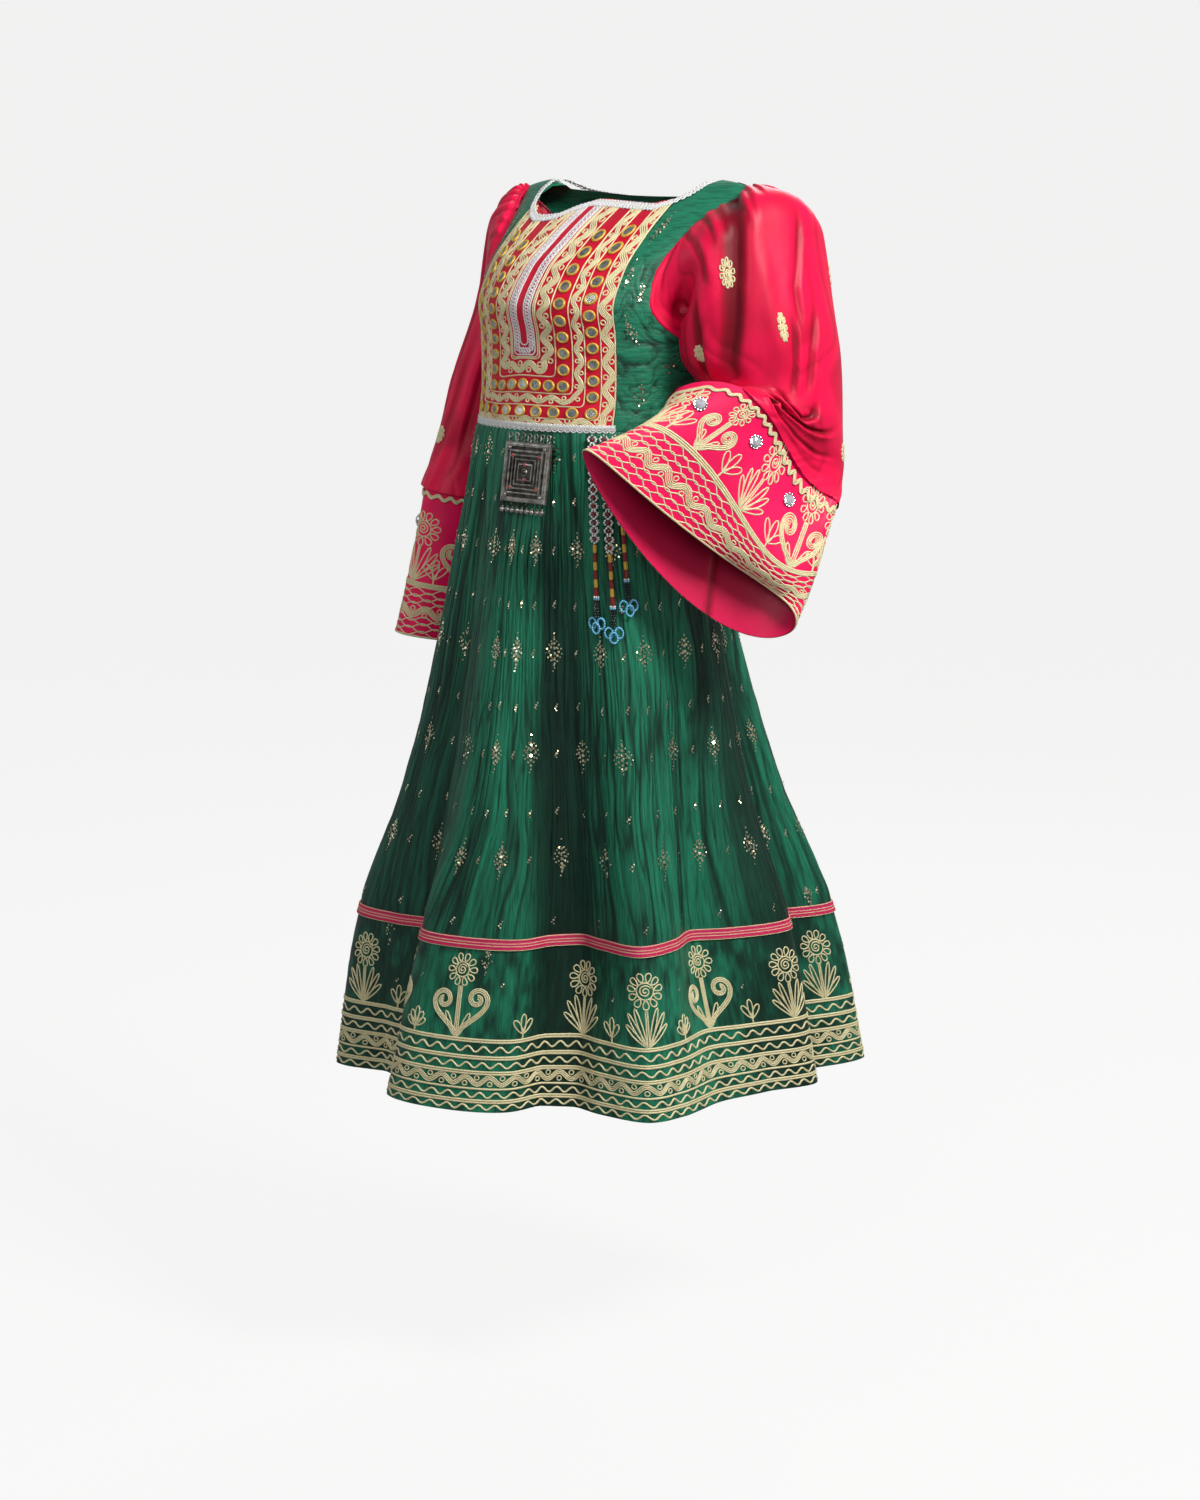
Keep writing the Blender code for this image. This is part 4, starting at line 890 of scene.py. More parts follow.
def make_skirt():
    pieces = []
    z = np.concatenate([np.linspace(HEM_Z, BRAID_Z - 0.010, 30),
                        np.linspace(BRAID_Z, WAIST_Z - SEAM_GAP, 82)])
    for name, first, last in (("skirt_front", 0, SIDE_FOLD), ("skirt_back", SIDE_FOLD, FOLD_COUNT)):
        a, h = np.meshgrid(np.linspace(first, last, (last - first) * SKIRT_COLUMNS + 1), z)
        points = raised(skirt, a, h, SKIRT_STEPS, 1, skirt_rise(a, h))[0]
        # Painted shade through the crease attribute: dark in the crinkles' valleys, giving way below the
        # braid mostly to an uneven tone, and darker in the troughs of the large folds lower on the skirt
        depth = skirt_crease(a, h)
        patch = 0.74 + 0.30 * noise(a * 6, h * 55, 12, 6 * FOLD_COUNT)
        patch = patch + 0.22 * noise(a * 17, h * 90, 13, 17 * FOLD_COUNT)
        depth = depth + (patch - depth) * 0.75 * ease((BRAID_Z - h) / 0.012)
        down = ease((-0.30 - h) / 0.30)
        depth = depth * (1 - 0.68 * down * (1 - painted_fold_light(a, h)))
        flat = np.stack([a * 0.064, h], -1)
        pieces.append(shell("cloth_" + name, name, points, "skirt", "green_taffeta", flat, depth))
    return pieces


# Tall motifs of the border: place around it, and kind
BORDER = [
    (0.040, "leaves"), (0.150, "scroll"), (0.264, "leaves"), (0.372, "scroll"), (0.482, "scroll"),
    (0.640, "leaves"), (0.735, "leaves"), (0.846, "scroll"), (0.957, "leaves"), (1.078, "leaves"),
    (1.190, "scroll"), (1.300, "leaves"), (1.410, "scroll"), (1.520, "leaves"), (1.630, "scroll"),
]


def moved(x, y, wide=1.0, high=1.0):
    """Function that scales a flat line and moves it."""
    return lambda points: points * np.array([wide, high]) + np.array([x, y])


def make_border():
    """Hem border: lines, waves and a vine between the side seams, with motifs above them."""
    pieces = []
    foot = BORDER_Z + 0.0022
    spots = [x for x, kind in BORDER] + [BORDER[0][0] + HEM_LENGTH]
    for name, first, last in (("front", 0.0, SEAM_S), ("back", SEAM_S, HEM_LENGTH)):
        cords = Cords()
        long = last - first
        for level in (0.0, -0.0200, -0.0380, -0.0720):
            for step in (-0.0013, 0.0013):
                cords.add(line(long, BORDER_Z + level + step, first), 0.0014)
        cords.add(line(long, BORDER_Z - 0.0570, first), 0.0014)
        for level, height in ((-0.0100, 0.0033), (-0.0290, 0.0031), (-0.0645, 0.0031), (-0.0790, 0.0028)):
            cords.add(wave(long, BORDER_Z + level, height, 0.0190, 0.0021, first), 0.0013)
        vine(cords, line(long, BORDER_Z - 0.0475, first), 0.0044, 0.0290, 0.0027, 3)
        for k, (x, kind) in enumerate(BORDER):
            if first <= x < last:
                motif(cords, moved(x, foot), kind)
            x = (spots[k] + spots[k + 1]) / 2
            if first + 0.01 <= x < last - 0.01:
                sprig(cords, moved(x, foot), 0.030, 3 if k % 3 else 5)
        pieces.append(cords.make(on_skirt, "border_cords_" + name))
    return pieces


def make_braid():
    """Pink braid around the skirt with gold threads along it."""
    piece = Build()
    half = BRAID_WIDTH / 2
    rows = np.array([[-half, 0.0016], [0.0008 - half, 0.0038], [0.004 - half, 0.0042], [0, 0.0040],
                     [half - 0.004, 0.0042], [half - 0.0008, 0.0038], [half, 0.0016]])
    a, z = np.meshgrid(np.arange(FOLD_COUNT * 14) / 14, BRAID_Z + rows[:, 0])
    lift = rows[:, 1][:, None] * np.ones(a.shape)
    piece.add(raised(skirt, a, z, SKIRT_STEPS, 1, lift)[0], grid_faces(len(rows), a.shape[1], True))
    cords = Cords()
    for level in (-0.0062, 0.0062):
        cords.add(line(HEM_LENGTH, BRAID_Z + level)[:-1], 0.0004, True, 1)
        cords.add(line(HEM_LENGTH, BRAID_Z + level * 0.78)[:-1], 0.0007, True, 0)
    for level in (-0.0016, 0.0016):
        cords.add(wave(HEM_LENGTH, BRAID_Z + level, 0.0006, 0.0040, 0.0019)[:-1], 0.0005, True, 1)
    cords.lay(piece, on_braid)
    return piece.make("braid_of_skirt", ["pink", "gold"], "pink_braid", "skirt_braid")


# Sequins of one sprig: offsets across and up, and radius
SPRAY = [
    (0, 19, 0.9), (0, 14, 1.0), (-2.4, 11, 0.9), (2.4, 11, 0.9), (0, 9, 1.5), (-4.6, 8, 1.0), (4.6, 8, 1.0),
    (-2.6, 5.5, 1.2), (2.6, 5.5, 1.2), (0, 4, 1.7), (-6.6, 4, 1.0), (6.6, 4, 1.0), (-4.4, 1.6, 1.2),
    (4.4, 1.6, 1.2), (0, -1, 1.8), (-7.4, -0.6, 0.9), (7.4, -0.6, 0.9), (-3, -3, 1.2), (3, -3, 1.2),
    (-5.6, -4.4, 1.0), (5.6, -4.4, 1.0), (0, -6, 1.5), (-2.6, -8, 1.0), (2.6, -8, 1.0), (0, -11, 1.1),
    (0, -15, 0.9), (-1.2, -18, 0.8),
]


def add_sequins(piece, place, spots, rng, spread=0.35):
    """Small cups of metal, each a little tilted."""
    spots = np.asarray(spots, float)
    centre, out = place(spots[:, :2])
    tilt = unit(out + spread * rng.uniform(-1, 1, out.shape))
    first = unit(np.cross(tilt, rng.uniform(-1, 1, out.shape)))
    second = np.cross(tilt, first)
    turn = ring_turns(6)
    rim = (first[:, None] * np.cos(turn)[None, :, None] + second[:, None] * np.sin(turn)[None, :, None])
    rim = (centre + out * 0.0009)[:, None] + rim * spots[:, 2][:, None, None]
    piece.add(rim, np.arange(len(spots) * 6).reshape(-1, 6))


def spray_part(x, y, rng, across, up, size, share):
    """A share of the sequins of one sprig."""
    return [(x + dx * across, y + dy * up, r * size) for dx, dy, r in SPRAY if rng.random() < share]


def spray_at(x, y, rng, size=1.0, share=1.0):
    """Sprig of sequins with small ones strewn between."""
    rows = spray_part(x, y, rng, 0.001 * size, 0.00115 * size, 0.00112, share)
    for _ in range(int(16 * share)):
        far = rng.uniform(-1, 1)
        rows.append((x + 0.0060 * size * (1 - abs(far)) * rng.uniform(-1, 1), y + 0.018 * size * far, 0.0009))
    return rows


def dots_at(x, y, rng):
    return [(x, y, 0.0015), (x + 0.002, y + 0.0028, 0.0010), (x - 0.0022, y - 0.0024, 0.0010),
            (x + 0.0004 * rng.uniform(-1, 1), y - 0.0046, 0.0009)]


def make_skirt_sequins():
    rng = np.random.default_rng(21)
    rows = []
    number = 20
    half = 0.5 * HEM_LENGTH / number
    for k, z in enumerate((-0.298, -0.404, -0.521, -0.637, -0.759)):
        squeeze = 1.0 if z < -0.5 else 0.9
        wide = 1.35 + 0.95 * ease((z + 0.85) / 0.5)
        for j in range(number):
            x = (j + 0.5 * (k % 2)) / number * HEM_LENGTH + rng.uniform(-0.006, 0.006)
            spray = spray_at(0, 0, rng, squeeze, 0.94)
            rows += [(x + dx * wide, z + dy + rng.uniform(-0.0006, 0.0006), r) for dx, dy, r in spray]
            rows += dots_at(x + half, z, rng)
            if z < -0.4:
                rows += dots_at(x + half, z + 0.054, rng)
                rows += dots_at(x + 2 * half, z + 0.056, rng)
    for j in range(24):
        rows += dots_at((j + 0.3) / 24 * HEM_LENGTH, -0.832, rng)
    for x, z, share in ((0.512, -0.876, 0.5), (1.085, -0.838, 0.8), (0.300, -0.874, 0.3),
                        (1.45, -0.872, 0.5)):
        rows += spray_at(x, z, rng, 0.8, share)
    for x, kind in BORDER:
        rows += dots_at(x + 0.050, -0.918 + 0.02 * rng.uniform(-1, 1), rng)[:2]
    piece = Build()
    add_sequins(piece, on_skirt, rows, rng)
    return piece.make("skirt_sequins", ["sequin"], "gold_braid", shade=False)


# Bodice
def crush(a, z, seed):
    """Height of the crosswise creases of the bodice, few on the smooth yoke, and the tone that paints shade
    into their valleys.
    """
    lean = z + 0.010 * noise(a * 3, z * 14, seed) + 0.004 * noise(a * 9, z * 40, seed + 5)
    ridge = valley(noise(a * 3 + 5, lean * 95, seed + 1), 0.22)
    ridge = ridge + 0.6 * valley(noise(a * 6 + 9, lean * 170, seed + 2), 0.2)
    share = ease((-0.045 - z) / 0.07)
    rise = 0.0004 + share * 0.0011 * ridge + 0.0009 * noise(a * 2, z * 26, seed + 3) * (1 - share)
    # Painted shade: the tone darkens the creases' valleys, more below the yoke
    return rise, 1 - (0.15 + 0.45 * share) * np.clip(1.25 - ridge, 0, 1)


def shoulder_rows(edge):
    """Rows of cloth that go on from a front panel's top edge, over the shoulder, to the back panel."""
    back = back_panel(np.linspace(-0.999, 0.999, 150), np.full(150, 0.992))
    far = np.stack([edge[:, 0]] + [np.interp(edge[:, 0], back[:, 0], back[:, c]) for c in (1, 2)], -1)
    gap = np.linalg.norm(far - edge, axis=-1)
    reach = np.clip((np.abs(edge[:, 0]) - 0.118) / 0.006, 0.02, 1)
    share = np.linspace(0, 1, 6)[1:, None] * reach
    rows = edge + (far - edge) * share[..., None]
    rows[..., 2] += 0.15 * gap * np.sin(np.pi * share)
    return rows


def bodice_cloth(name, surface, a, v, hand, streaks, seed, width):
    """One panel of the bodice; a front panel goes on over the shoulder."""
    plain = surface(a, v)
    out = hand * normals(surface, a, v, *PANEL_STEPS)
    out[-1] = out[-2]
    rise, painted_shade_tone = crush(streaks, plain[..., 2], seed)
    points = plain + out * rise[..., None]
    flat = np.stack([a * width, plain[..., 2]], -1)
    if name != "back":
        over = shoulder_rows(points[-1])
        points = np.concatenate([points, over])
        flat_over = flat[-1] + np.arange(1, len(over) + 1)[:, None, None] * [0.0, 0.003]
        flat = np.concatenate([flat, flat_over])
        painted_shade_tone = np.concatenate([painted_shade_tone, np.repeat(painted_shade_tone[-1:], len(over), 0)])
    return shell("cloth_bodice_" + name, "bodice_" + name, points, "bodice", "green_taffeta", flat, painted_shade_tone,
                 False, hand < 0)


def make_bodice():
    a, v = np.meshgrid(np.linspace(0.004, 0.999, 56), np.linspace(0.001, 1, 170))
    left = bodice_cloth("front_left", side_panel(1), a, v, 1, a, 30, 0.09)
    right = bodice_cloth("front_right", side_panel(-1), a, v, -1, a, 40, 0.09)
    a, v = np.meshgrid(np.linspace(-0.999, 0.999, 150), np.linspace(0.0, 1, 140))
    return left, right, bodice_cloth("back", back_panel, a, v, -1, a * 2.4 + 7, 50, 0.18)


def make_bodice_sequins():
    rng = np.random.default_rng(8)
    piece = Build()
    for hand in (1, -1):
        rows = []
        for x, v, share in ((0.022, 0.80, 1.0), (0.018, 0.62, 0.5), (0.060, 0.55, 0.35),
                            (0.024, 0.40, 0.8), (0.062, 0.27, 0.5), (0.030, 0.14, 0.6)):
            rows += spray_part(x, v, rng, 0.001, 0.0034, 0.001, share)
        surface = side_panel(hand)

        def on_side(flat):
            return raised(surface, flat[:, 0] / PANEL_FLAT, flat[:, 1], PANEL_STEPS, hand, CLOTH)

        add_sequins(piece, on_side, rows, rng)
    rows = []
    for j in range(7):
        for k in range(5):
            x, v = -0.72 + 0.24 * j + 0.12 * (k % 2), 0.14 + 0.19 * k
            rows += spray_part(x, v, rng, 0.0055, 0.0034, 0.001, 0.6)

    def on_back(flat):
        a, v = np.clip(flat[:, 0], -0.98, 0.98), np.clip(flat[:, 1], 0, 0.99)
        return raised(back_panel, a, v, PANEL_STEPS, -1, CLOTH)

    add_sequins(piece, on_back, rows, rng)
    return piece.make("bodice_sequins", ["sequin"], "gold_braid", shade=False)


# Bib
def on_bib(flat):
    return raised(bib, flat[:, 0], flat[:, 1] / BIB_LENGTH, BIB_STEPS, 1, 0.0010)


def trough(offset, row, corner=0.006):
    """U shaped line: down one side, across and up the other."""
    top = BIB_LENGTH - 0.003
    turn = np.linspace(0, np.pi / 2, 6)
    left = np.stack([-offset + corner * (1 - np.cos(turn)), row + corner * (1 - np.sin(turn))], -1)
    right = np.stack([offset - corner * (1 - np.sin(turn)), row + corner * (1 - np.cos(turn))], -1)
    return np.concatenate([[[-offset, top]], left, right, [[offset, top]]])


def make_bib():
    edge = BIB_HALF_ARC - 0.0002
    s, t = np.meshgrid(np.linspace(-edge, edge, 90), np.linspace(0.001, 1.0, 100))
    points = raised(bib, s, t, BIB_STEPS, 1, 0.0008 + 0.0003 * noise(s * 60, t * 14, 60))[0]
    cloth = shell("cloth_bib", "bib", points, "bib", "bib_satin", np.stack([s, t * BIB_LENGTH], -1))
    cords = Cords()
    for offset, row in ((0.0225, 0.0925), (0.0445, 0.0700), (0.0665, 0.0480), (0.0820, 0.0315),
                        (0.1020, 0.0150)):
        cords.add(resample(trough(offset, row), 0.003)[0], 0.00085)
    for side in (-1, 1):
        cords.add(line(0.294, side * 0.1195, 0.003)[:, ::-1], 0.0011)
    cords.add(line(0.238, 0.0026, -0.119), 0.0010)
    for path, *shape in ((trough(0.0335, 0.0815, 0.010), 0.0052, 0.030, 0.0030, 4),
                         (trough(0.0745, 0.0400, 0.010), 0.0034, 0.032, 0.0024, 3),
                         (trough(0.1110, 0.0088, 0.008), 0.0048, 0.036, 0.0030, 4)):
        vine(cords, path, *shape)
    for phase in (0.0, math.pi):
        picots = along_path(trough(0.0110, 0.1030), 0.0034, 0.0088, phase, 0.0014)[0]
        cords.add(picots, 0.0010, False, 1)
    for offset, row, kind in ((0.0160, 0.0975, 1), (0.0060, 0.1100, 1), (0.0200, 0.0945, 0)):
        cords.add(resample(trough(offset, row), 0.003)[0], 0.0009, False, kind)
    return cloth, cords.make(on_bib, "bib_cords", None, ("gold", "white")), make_mirrors()


def make_mirrors():
    """Round mirrors, each held by a ring of gold thread."""
    places = []
    for offset, low, high, number, spaces, row in MIRROR_COLUMNS:
        for t in np.linspace(low, high, number):
            places += [(-offset, t), (offset, t)]
        places += [(-offset + 2 * offset * k / spaces, row) for k in range(1, spaces)]
    around = 20
    turn = ring_turns(around)
    circle = np.stack([np.cos(turn), np.sin(turn)], -1)
    profile = scaled([(7.9, 0.4), (7.7, 1.3), (6.9, 2.1), (6.0, 2.1), (5.3, 1.4)], 1000)
    piece = Build()
    for place in np.array(places):
        spots = on_bib(np.concatenate([place + radius * circle for radius in profile[:, 0]]))[0]
        lift = on_bib(place[None])[1]
        spots = spots + lift * np.repeat(profile[:, 1], around)[:, None]
        piece.add(spots, grid_faces(len(profile), around, True))
        piece.add(spots[-around:], np.arange(around)[None], 1)
    return piece.make("bib_mirrors", ["bright_gold", "mirror"], "bib_satin")


# Sleeves and cuffs

# Main folds of the sleeves: depth of the trough (a ridge if below 0), half width and lip beside
# it in mm (the lip's sign says on which side), how much painted shade the trough gets, and then
# its line by places (around, along) in thousandths
LEFT_FOLDS = [
    (7.5, 12.0, 3.5, 1.0, (83, 20), (98, 100), (118, 190), (136, 245), (150, 310), (165, 390), (190, 500),
     (212, 660)),
    (2.6, 3.6, 1.2, 0.55, (86, 10), (96, 120), (103, 240)),
    (2.4, 3.2, 1.0, 0.40, (128, 10), (137, 125), (152, 220)),
    (2.4, 3.2, 1.0, 0.40, (155, 10), (163, 135), (180, 230)),
    (2.4, 3.0, 0.8, 0.35, (188, 10), (200, 100), (208, 170)),
    (2.8, 4.5, 1.2, 0.45, (200, 120), (213, 190), (217, 300)),
    (2.2, 3.2, 1.0, 0.30, (58, 10), (68, 130), (90, 230)),
    (2.0, 3.2, 1.0, 0.25, (20, 10), (32, 100), (50, 180)),
    (2.0, 3.2, 0.8, 0.25, (-20, 10), (-12, 80), (-6, 160)),
    (4.8, 6.5, 1.5, 0.85, (256, 270), (255, 400), (262, 500), (292, 680)),
    (2.5, 4.5, 1.0, 0.35, (298, 220), (305, 380), (318, 560)),
    (3.0, 4.5, 1.2, 0.45, (-22, 200), (12, 290), (32, 350), (40, 460)),
    (3.2, 3.4, 1.5, 0.60, (48, 400), (62, 520), (80, 660)),
    (3.0, 4.5, 2.0, 0.45, (-12, 380), (20, 490), (45, 640)),
    (-2.5, 9.0, 0.0, 0.0, (88, 240), (98, 400), (90, 580)),
    (6.0, 4.5, -3.0, 0.9, (120, 620), (95, 740), (48, 810), (25, 735), (20, 620)),
    (6.0, 4.5, -3.0, 0.9, (147, 695), (80, 860), (18, 840), (-27, 770), (-60, 700)),
    (5.0, 4.0, -2.5, 0.8, (145, 760), (100, 880), (50, 940), (0, 935), (-55, 900), (-100, 820)),
    (3.5, 3.5, 0.0, 0.5, (30, 965), (-20, 965), (-70, 955), (-125, 925)),
    (4.5, 8.0, 0.0, 0.6, (360, 100), (375, 350), (400, 620)),
    (5.0, 10.0, 2.5, 0.8, (-400, 60), (-420, 350), (-410, 700)),
    (5.5, 11.0, 3.0, 0.9, (-270, 40), (-290, 300), (-270, 640)),
    (4.5, 7.0, 2.0, 0.6, (-140, 180), (-160, 400), (-135, 660)),
    (4.0, 4.5, 0.0, 0.6, (-160, 780), (-215, 880), (-290, 860)),
] + [(2.2, 3.2, 1.0, 0.30, (-58 - 36 * k, 10), (-55 - 36 * k, 70 + 30 * (k % 3)),
      (-48 - 36 * k, 130 + 40 * (k % 2))) for k in range(5)]
RIGHT_FOLDS = [
    (4.5, 9.0, 2.5, 0.60, (300, 200), (312, 500), (325, 880)),
    (3.0, 7.0, 0.0, 0.35, (230, 380), (245, 600), (230, 930)),
    (3.6, 8.0, 2.0, 0.45, (170, 100), (160, 350), (180, 780)),
    (4.5, 9.5, 2.5, 0.60, (85, 50), (90, 300), (70, 720)),
    (4.0, 8.5, 2.0, 0.50, (0, 200), (12, 500), (-10, 920)),
    (4.5, 9.5, 2.0, 0.60, (-110, 50), (-105, 350), (-115, 750)),
    (4.5, 9.5, 0.0, 0.60, (-230, 120), (-240, 500), (-220, 900)),
    (4.5, 9.5, 2.0, 0.60, (-360, 150), (-350, 500), (-360, 900)),
    (3.5, 8.0, 0.0, 0.50, (420, 120), (410, 450), (430, 820)),
] + [(2.3, 3.2, 1.0, 0.35, (31 * k - 200, 10), (30 * k - 190, 60 + 40 * (k % 3)),
      (30 * k - 185, 110 + 50 * (k % 3))) for k in range(14)]


def folded(a, b, folds):
    """Rise of the main folds, and the painted shade of their troughs, 0 to 1."""
    long, high = SLEEVE_FLAT
    rise = 0 * a
    dark = 0 * a
    for depth, width, lip, tone, *path in folds:
        path = scaled(path, 1000) * SLEEVE_FLAT
        best, side, along, done = np.full(a.shape, 1.0), 0 * a, 0 * a, 0.0
        for p, q in zip(path[:-1], path[1:]):
            x = ((a * long - p[0] + long / 2) % long) - long / 2
            y = b * high - p[1]
            way = q - p
            far = float(np.hypot(*way))
            t = np.clip((x * way[0] + y * way[1]) / far ** 2, 0, 1)
            gap = np.hypot(x - t * way[0], y - t * way[1])
            side = np.where(gap < best, np.sign(way[0] * y - way[1] * x), side)
            along = np.where(gap < best, done + t * far, along)
            best = np.minimum(best, gap)
            done += far
        fade = ease((done - along) / (0.3 * done))
        if path[0, 1] > 0.008:
            fade = fade * ease(along / (0.25 * done))
        wide = 0.001 * width * (np.where(side * lip > 0, 0.65, 1.1) if lip else 1.0)
        rise = rise - 0.001 * depth * np.exp(-(best / wide) ** 2) * fade
        if lip:
            away = (best * side * np.sign(lip) - 0.0012 * width) / (0.0012 * width)
            rise = rise + 0.001 * abs(lip) * np.exp(-away ** 2) * fade
        dark = np.maximum(dark, tone * np.exp(-(best / (1.05 * wide)) ** 4) * fade)
    return rise, dark


def sleeve_rise(surface, hand, a, b):
    """Height of a sleeve's cloth above its plain form, and its painted shade in the folds and creases, 0
    darkest and 1 unshaded.
    """
    seed = 70 if hand > 0 else 80
    plain = surface(a, b)
    end = np.exp(-((1 - b) / 0.07) ** 2)
    gather = np.abs(noise(a * 44 + noise(a * 8, b * 9, seed + 4, 8), b * 5, seed, 44))
    soft = noise(a * 9 + 0.8 * b, b * 4.2, seed + 1, 9)
    fine = np.abs(noise(a * 18 + 1.6 * noise(a * 5, b * 7, seed + 6, 5), b * 6.5, seed + 2, 18))
    folds, dark = folded(a, b, LEFT_FOLDS if hand > 0 else RIGHT_FOLDS)
    free = ease(b / 0.06) * (1 - 0.8 * end)
    rise = CLOTH + 0.0030 + 0.0022 * end * gather + (folds + 0.0014 * soft + 0.0011 * fine) * free
    inner = ease((0.012 - (hand * plain[..., 0] - torso_half_width(plain[..., 1], plain[..., 2]))) / 0.005)
    flatter = np.maximum(rise, -0.004) * (1 - inner) + 0.0004 * inner
    rise = np.where((inner > 0) & (b < 0.95), flatter, rise)
    if hand > 0:
        pull = np.exp(-((((a - 0.32 + 0.5) % 1.0 - 0.5) / 0.085) ** 2) - ((b - 0.20) / 0.14) ** 2)
        rise = rise - 0.016 * pull
    start = ease(b / 0.05)
    rise = rise * start + 0.0010 * (1 - start)
    # Painted shade: darker in the main folds' troughs and in the fine crinkles' valleys
    painted_shade_tone = 1 - (0.9 if hand > 0 else 0.6) * dark * free - 0.22 * np.clip(0.30 - fine, 0, 0.30) / 0.30 * free
    return rise, np.clip(painted_shade_tone, 0, 1)


def make_sleeves():
    """Sleeves, each with a first row that is tucked into the armhole."""
    pieces = []
    b = np.concatenate([np.linspace(0.0, 0.2, 32), np.linspace(0.2, 1.0, 96)[1:]])
    a, b = np.meshgrid(np.arange(SLEEVE_COLUMNS) / SLEEVE_COLUMNS, b)
    rows = np.r_[0, :len(a)]
    for name, table, rim, hand in SIDES:
        surface = sleeve(table, hand)
        rise, painted_shade_tone = sleeve_rise(surface, hand, a, b)
        points, out = raised(surface, a, b, SLEEVE_STEPS, hand, rise)
        tuck = points[0] - unit(points[1] - points[0]) * 0.006 - out[0] * 0.0010
        pieces.append(shell("cloth_sleeve_" + name, "sleeve_" + name, np.concatenate([tuck[None], points]),
                            "satin", "red_satin", np.stack([a * 0.5, b * 0.4], -1)[rows], painted_shade_tone[rows], True,
                            hand > 0))
    return pieces


# Flowers of the sleeves: places around and along, and how wide each is drawn
SLEEVE_SPOTS = {
    "left": ((0.166, 0.285, 0.62), (0.080, 0.435, 0.36), (0.268, 0.49, 0.45), (0.86, 0.30, 1.0),
             (0.80, 0.58, 0.8), (0.62, 0.35, 1.0), (0.45, 0.60, 1.0), (0.88, 0.78, 0.8)),
    "right": ((0.215, 0.78, 0.7), (0.40, 0.55, 1.0), (0.10, 0.5, 1.0), (0.0, 0.25, 1.0), (0.9, 0.6, 1.0),
              (0.72, 0.35, 1.0), (0.25, 0.35, 0.6)),
}


def make_sleeve_motifs():
    pieces = []
    long, high = SLEEVE_FLAT
    for name, table, rim, hand in SIDES:
        surface = sleeve(table, hand)

        def on_sleeve(flat):
            a, b = flat[:, 0] / long, flat[:, 1] / high
            rise = sleeve_rise(surface, hand, a, b)[0] + 0.0003
            return raised(surface, a, b, SLEEVE_STEPS, hand, rise)

        cords = Cords()
        for a, b, wide in SLEEVE_SPOTS[name]:
            flower(cords, moved(a * long, b * high, wide * 0.72, 0.72), (0, 0), 0.0175, 10)
        pieces.append(cords.make(on_sleeve, "sleeve_motifs_" + name))
    return pieces


# Seam of each cuff's lining, and the tall motifs of the cuffs: place around, and kind
LINING_SEAM = {"left": 0.515, "right": 0.62}
CUFF_MOTIFS = {
    "left": [(0.210, "leaves"), (0.080, "scroll"), (0.980, "leaves"), (0.860, "scroll"), (0.730, "leaves"),
             (0.580, "scroll"), (0.420, "leaves")],
    "right": [(0.250, "leaves"), (0.400, "scroll"), (0.550, "leaves"), (0.700, "scroll"), (0.870, "leaves"),
              (0.070, "scroll")],
}


def cuff_rise(hand, a, b):
    seed = 90 if hand > 0 else 95
    fine = 0.0006 * np.abs(noise(a * 30, b * 3, seed + 1, 30)) * (1 - b)
    return CLOTH * 0.8 + (0.0010 * noise(a * 9, b * 2.5 + 3, seed, 9) + fine)


def make_cuffs():
    pieces = []
    a, b = np.meshgrid(np.arange(CUFF_COLUMNS) / CUFF_COLUMNS,
                       np.concatenate([[-0.035], np.linspace(0.004, 1.0, 36)]))
    flat = np.stack([a * 0.6, b * 0.15], -1)
    for name, table, rim, hand in SIDES:
        surface = cuff(table, rim)
        points, out = raised(surface, a, b, SLEEVE_STEPS, hand, cuff_rise(hand, a, b))
        cloth = shell("cloth_cuff_" + name, "cuff_" + name, points, "cuff", "red_satin", flat, 1.0, True,
                      hand > 0)
        away = np.abs((a - LINING_SEAM[name] + 0.5) % 1.0 - 0.5)
        ridge = 0.0022 * np.exp(-(away / 0.005) ** 2) * ease((b - 0.2) / 0.3)
        points = points - out * (0.0011 + ridge)[..., None]
        # Painted shade on the lining: darker along its seam and deep inside the bell, lighter towards the rim
        depth = (1 - 0.7 * np.exp(-(away / 0.004) ** 2)) * (0.30 + 0.62 * b * b)
        lining = shell("lining_cuff_" + name, None, points[1:], "lining", "red_satin", flat[1:], depth[1:],
                       True, hand > 0)
        pieces.append((cloth, lining) + make_cuff_work(name, surface, hand))
    return pieces


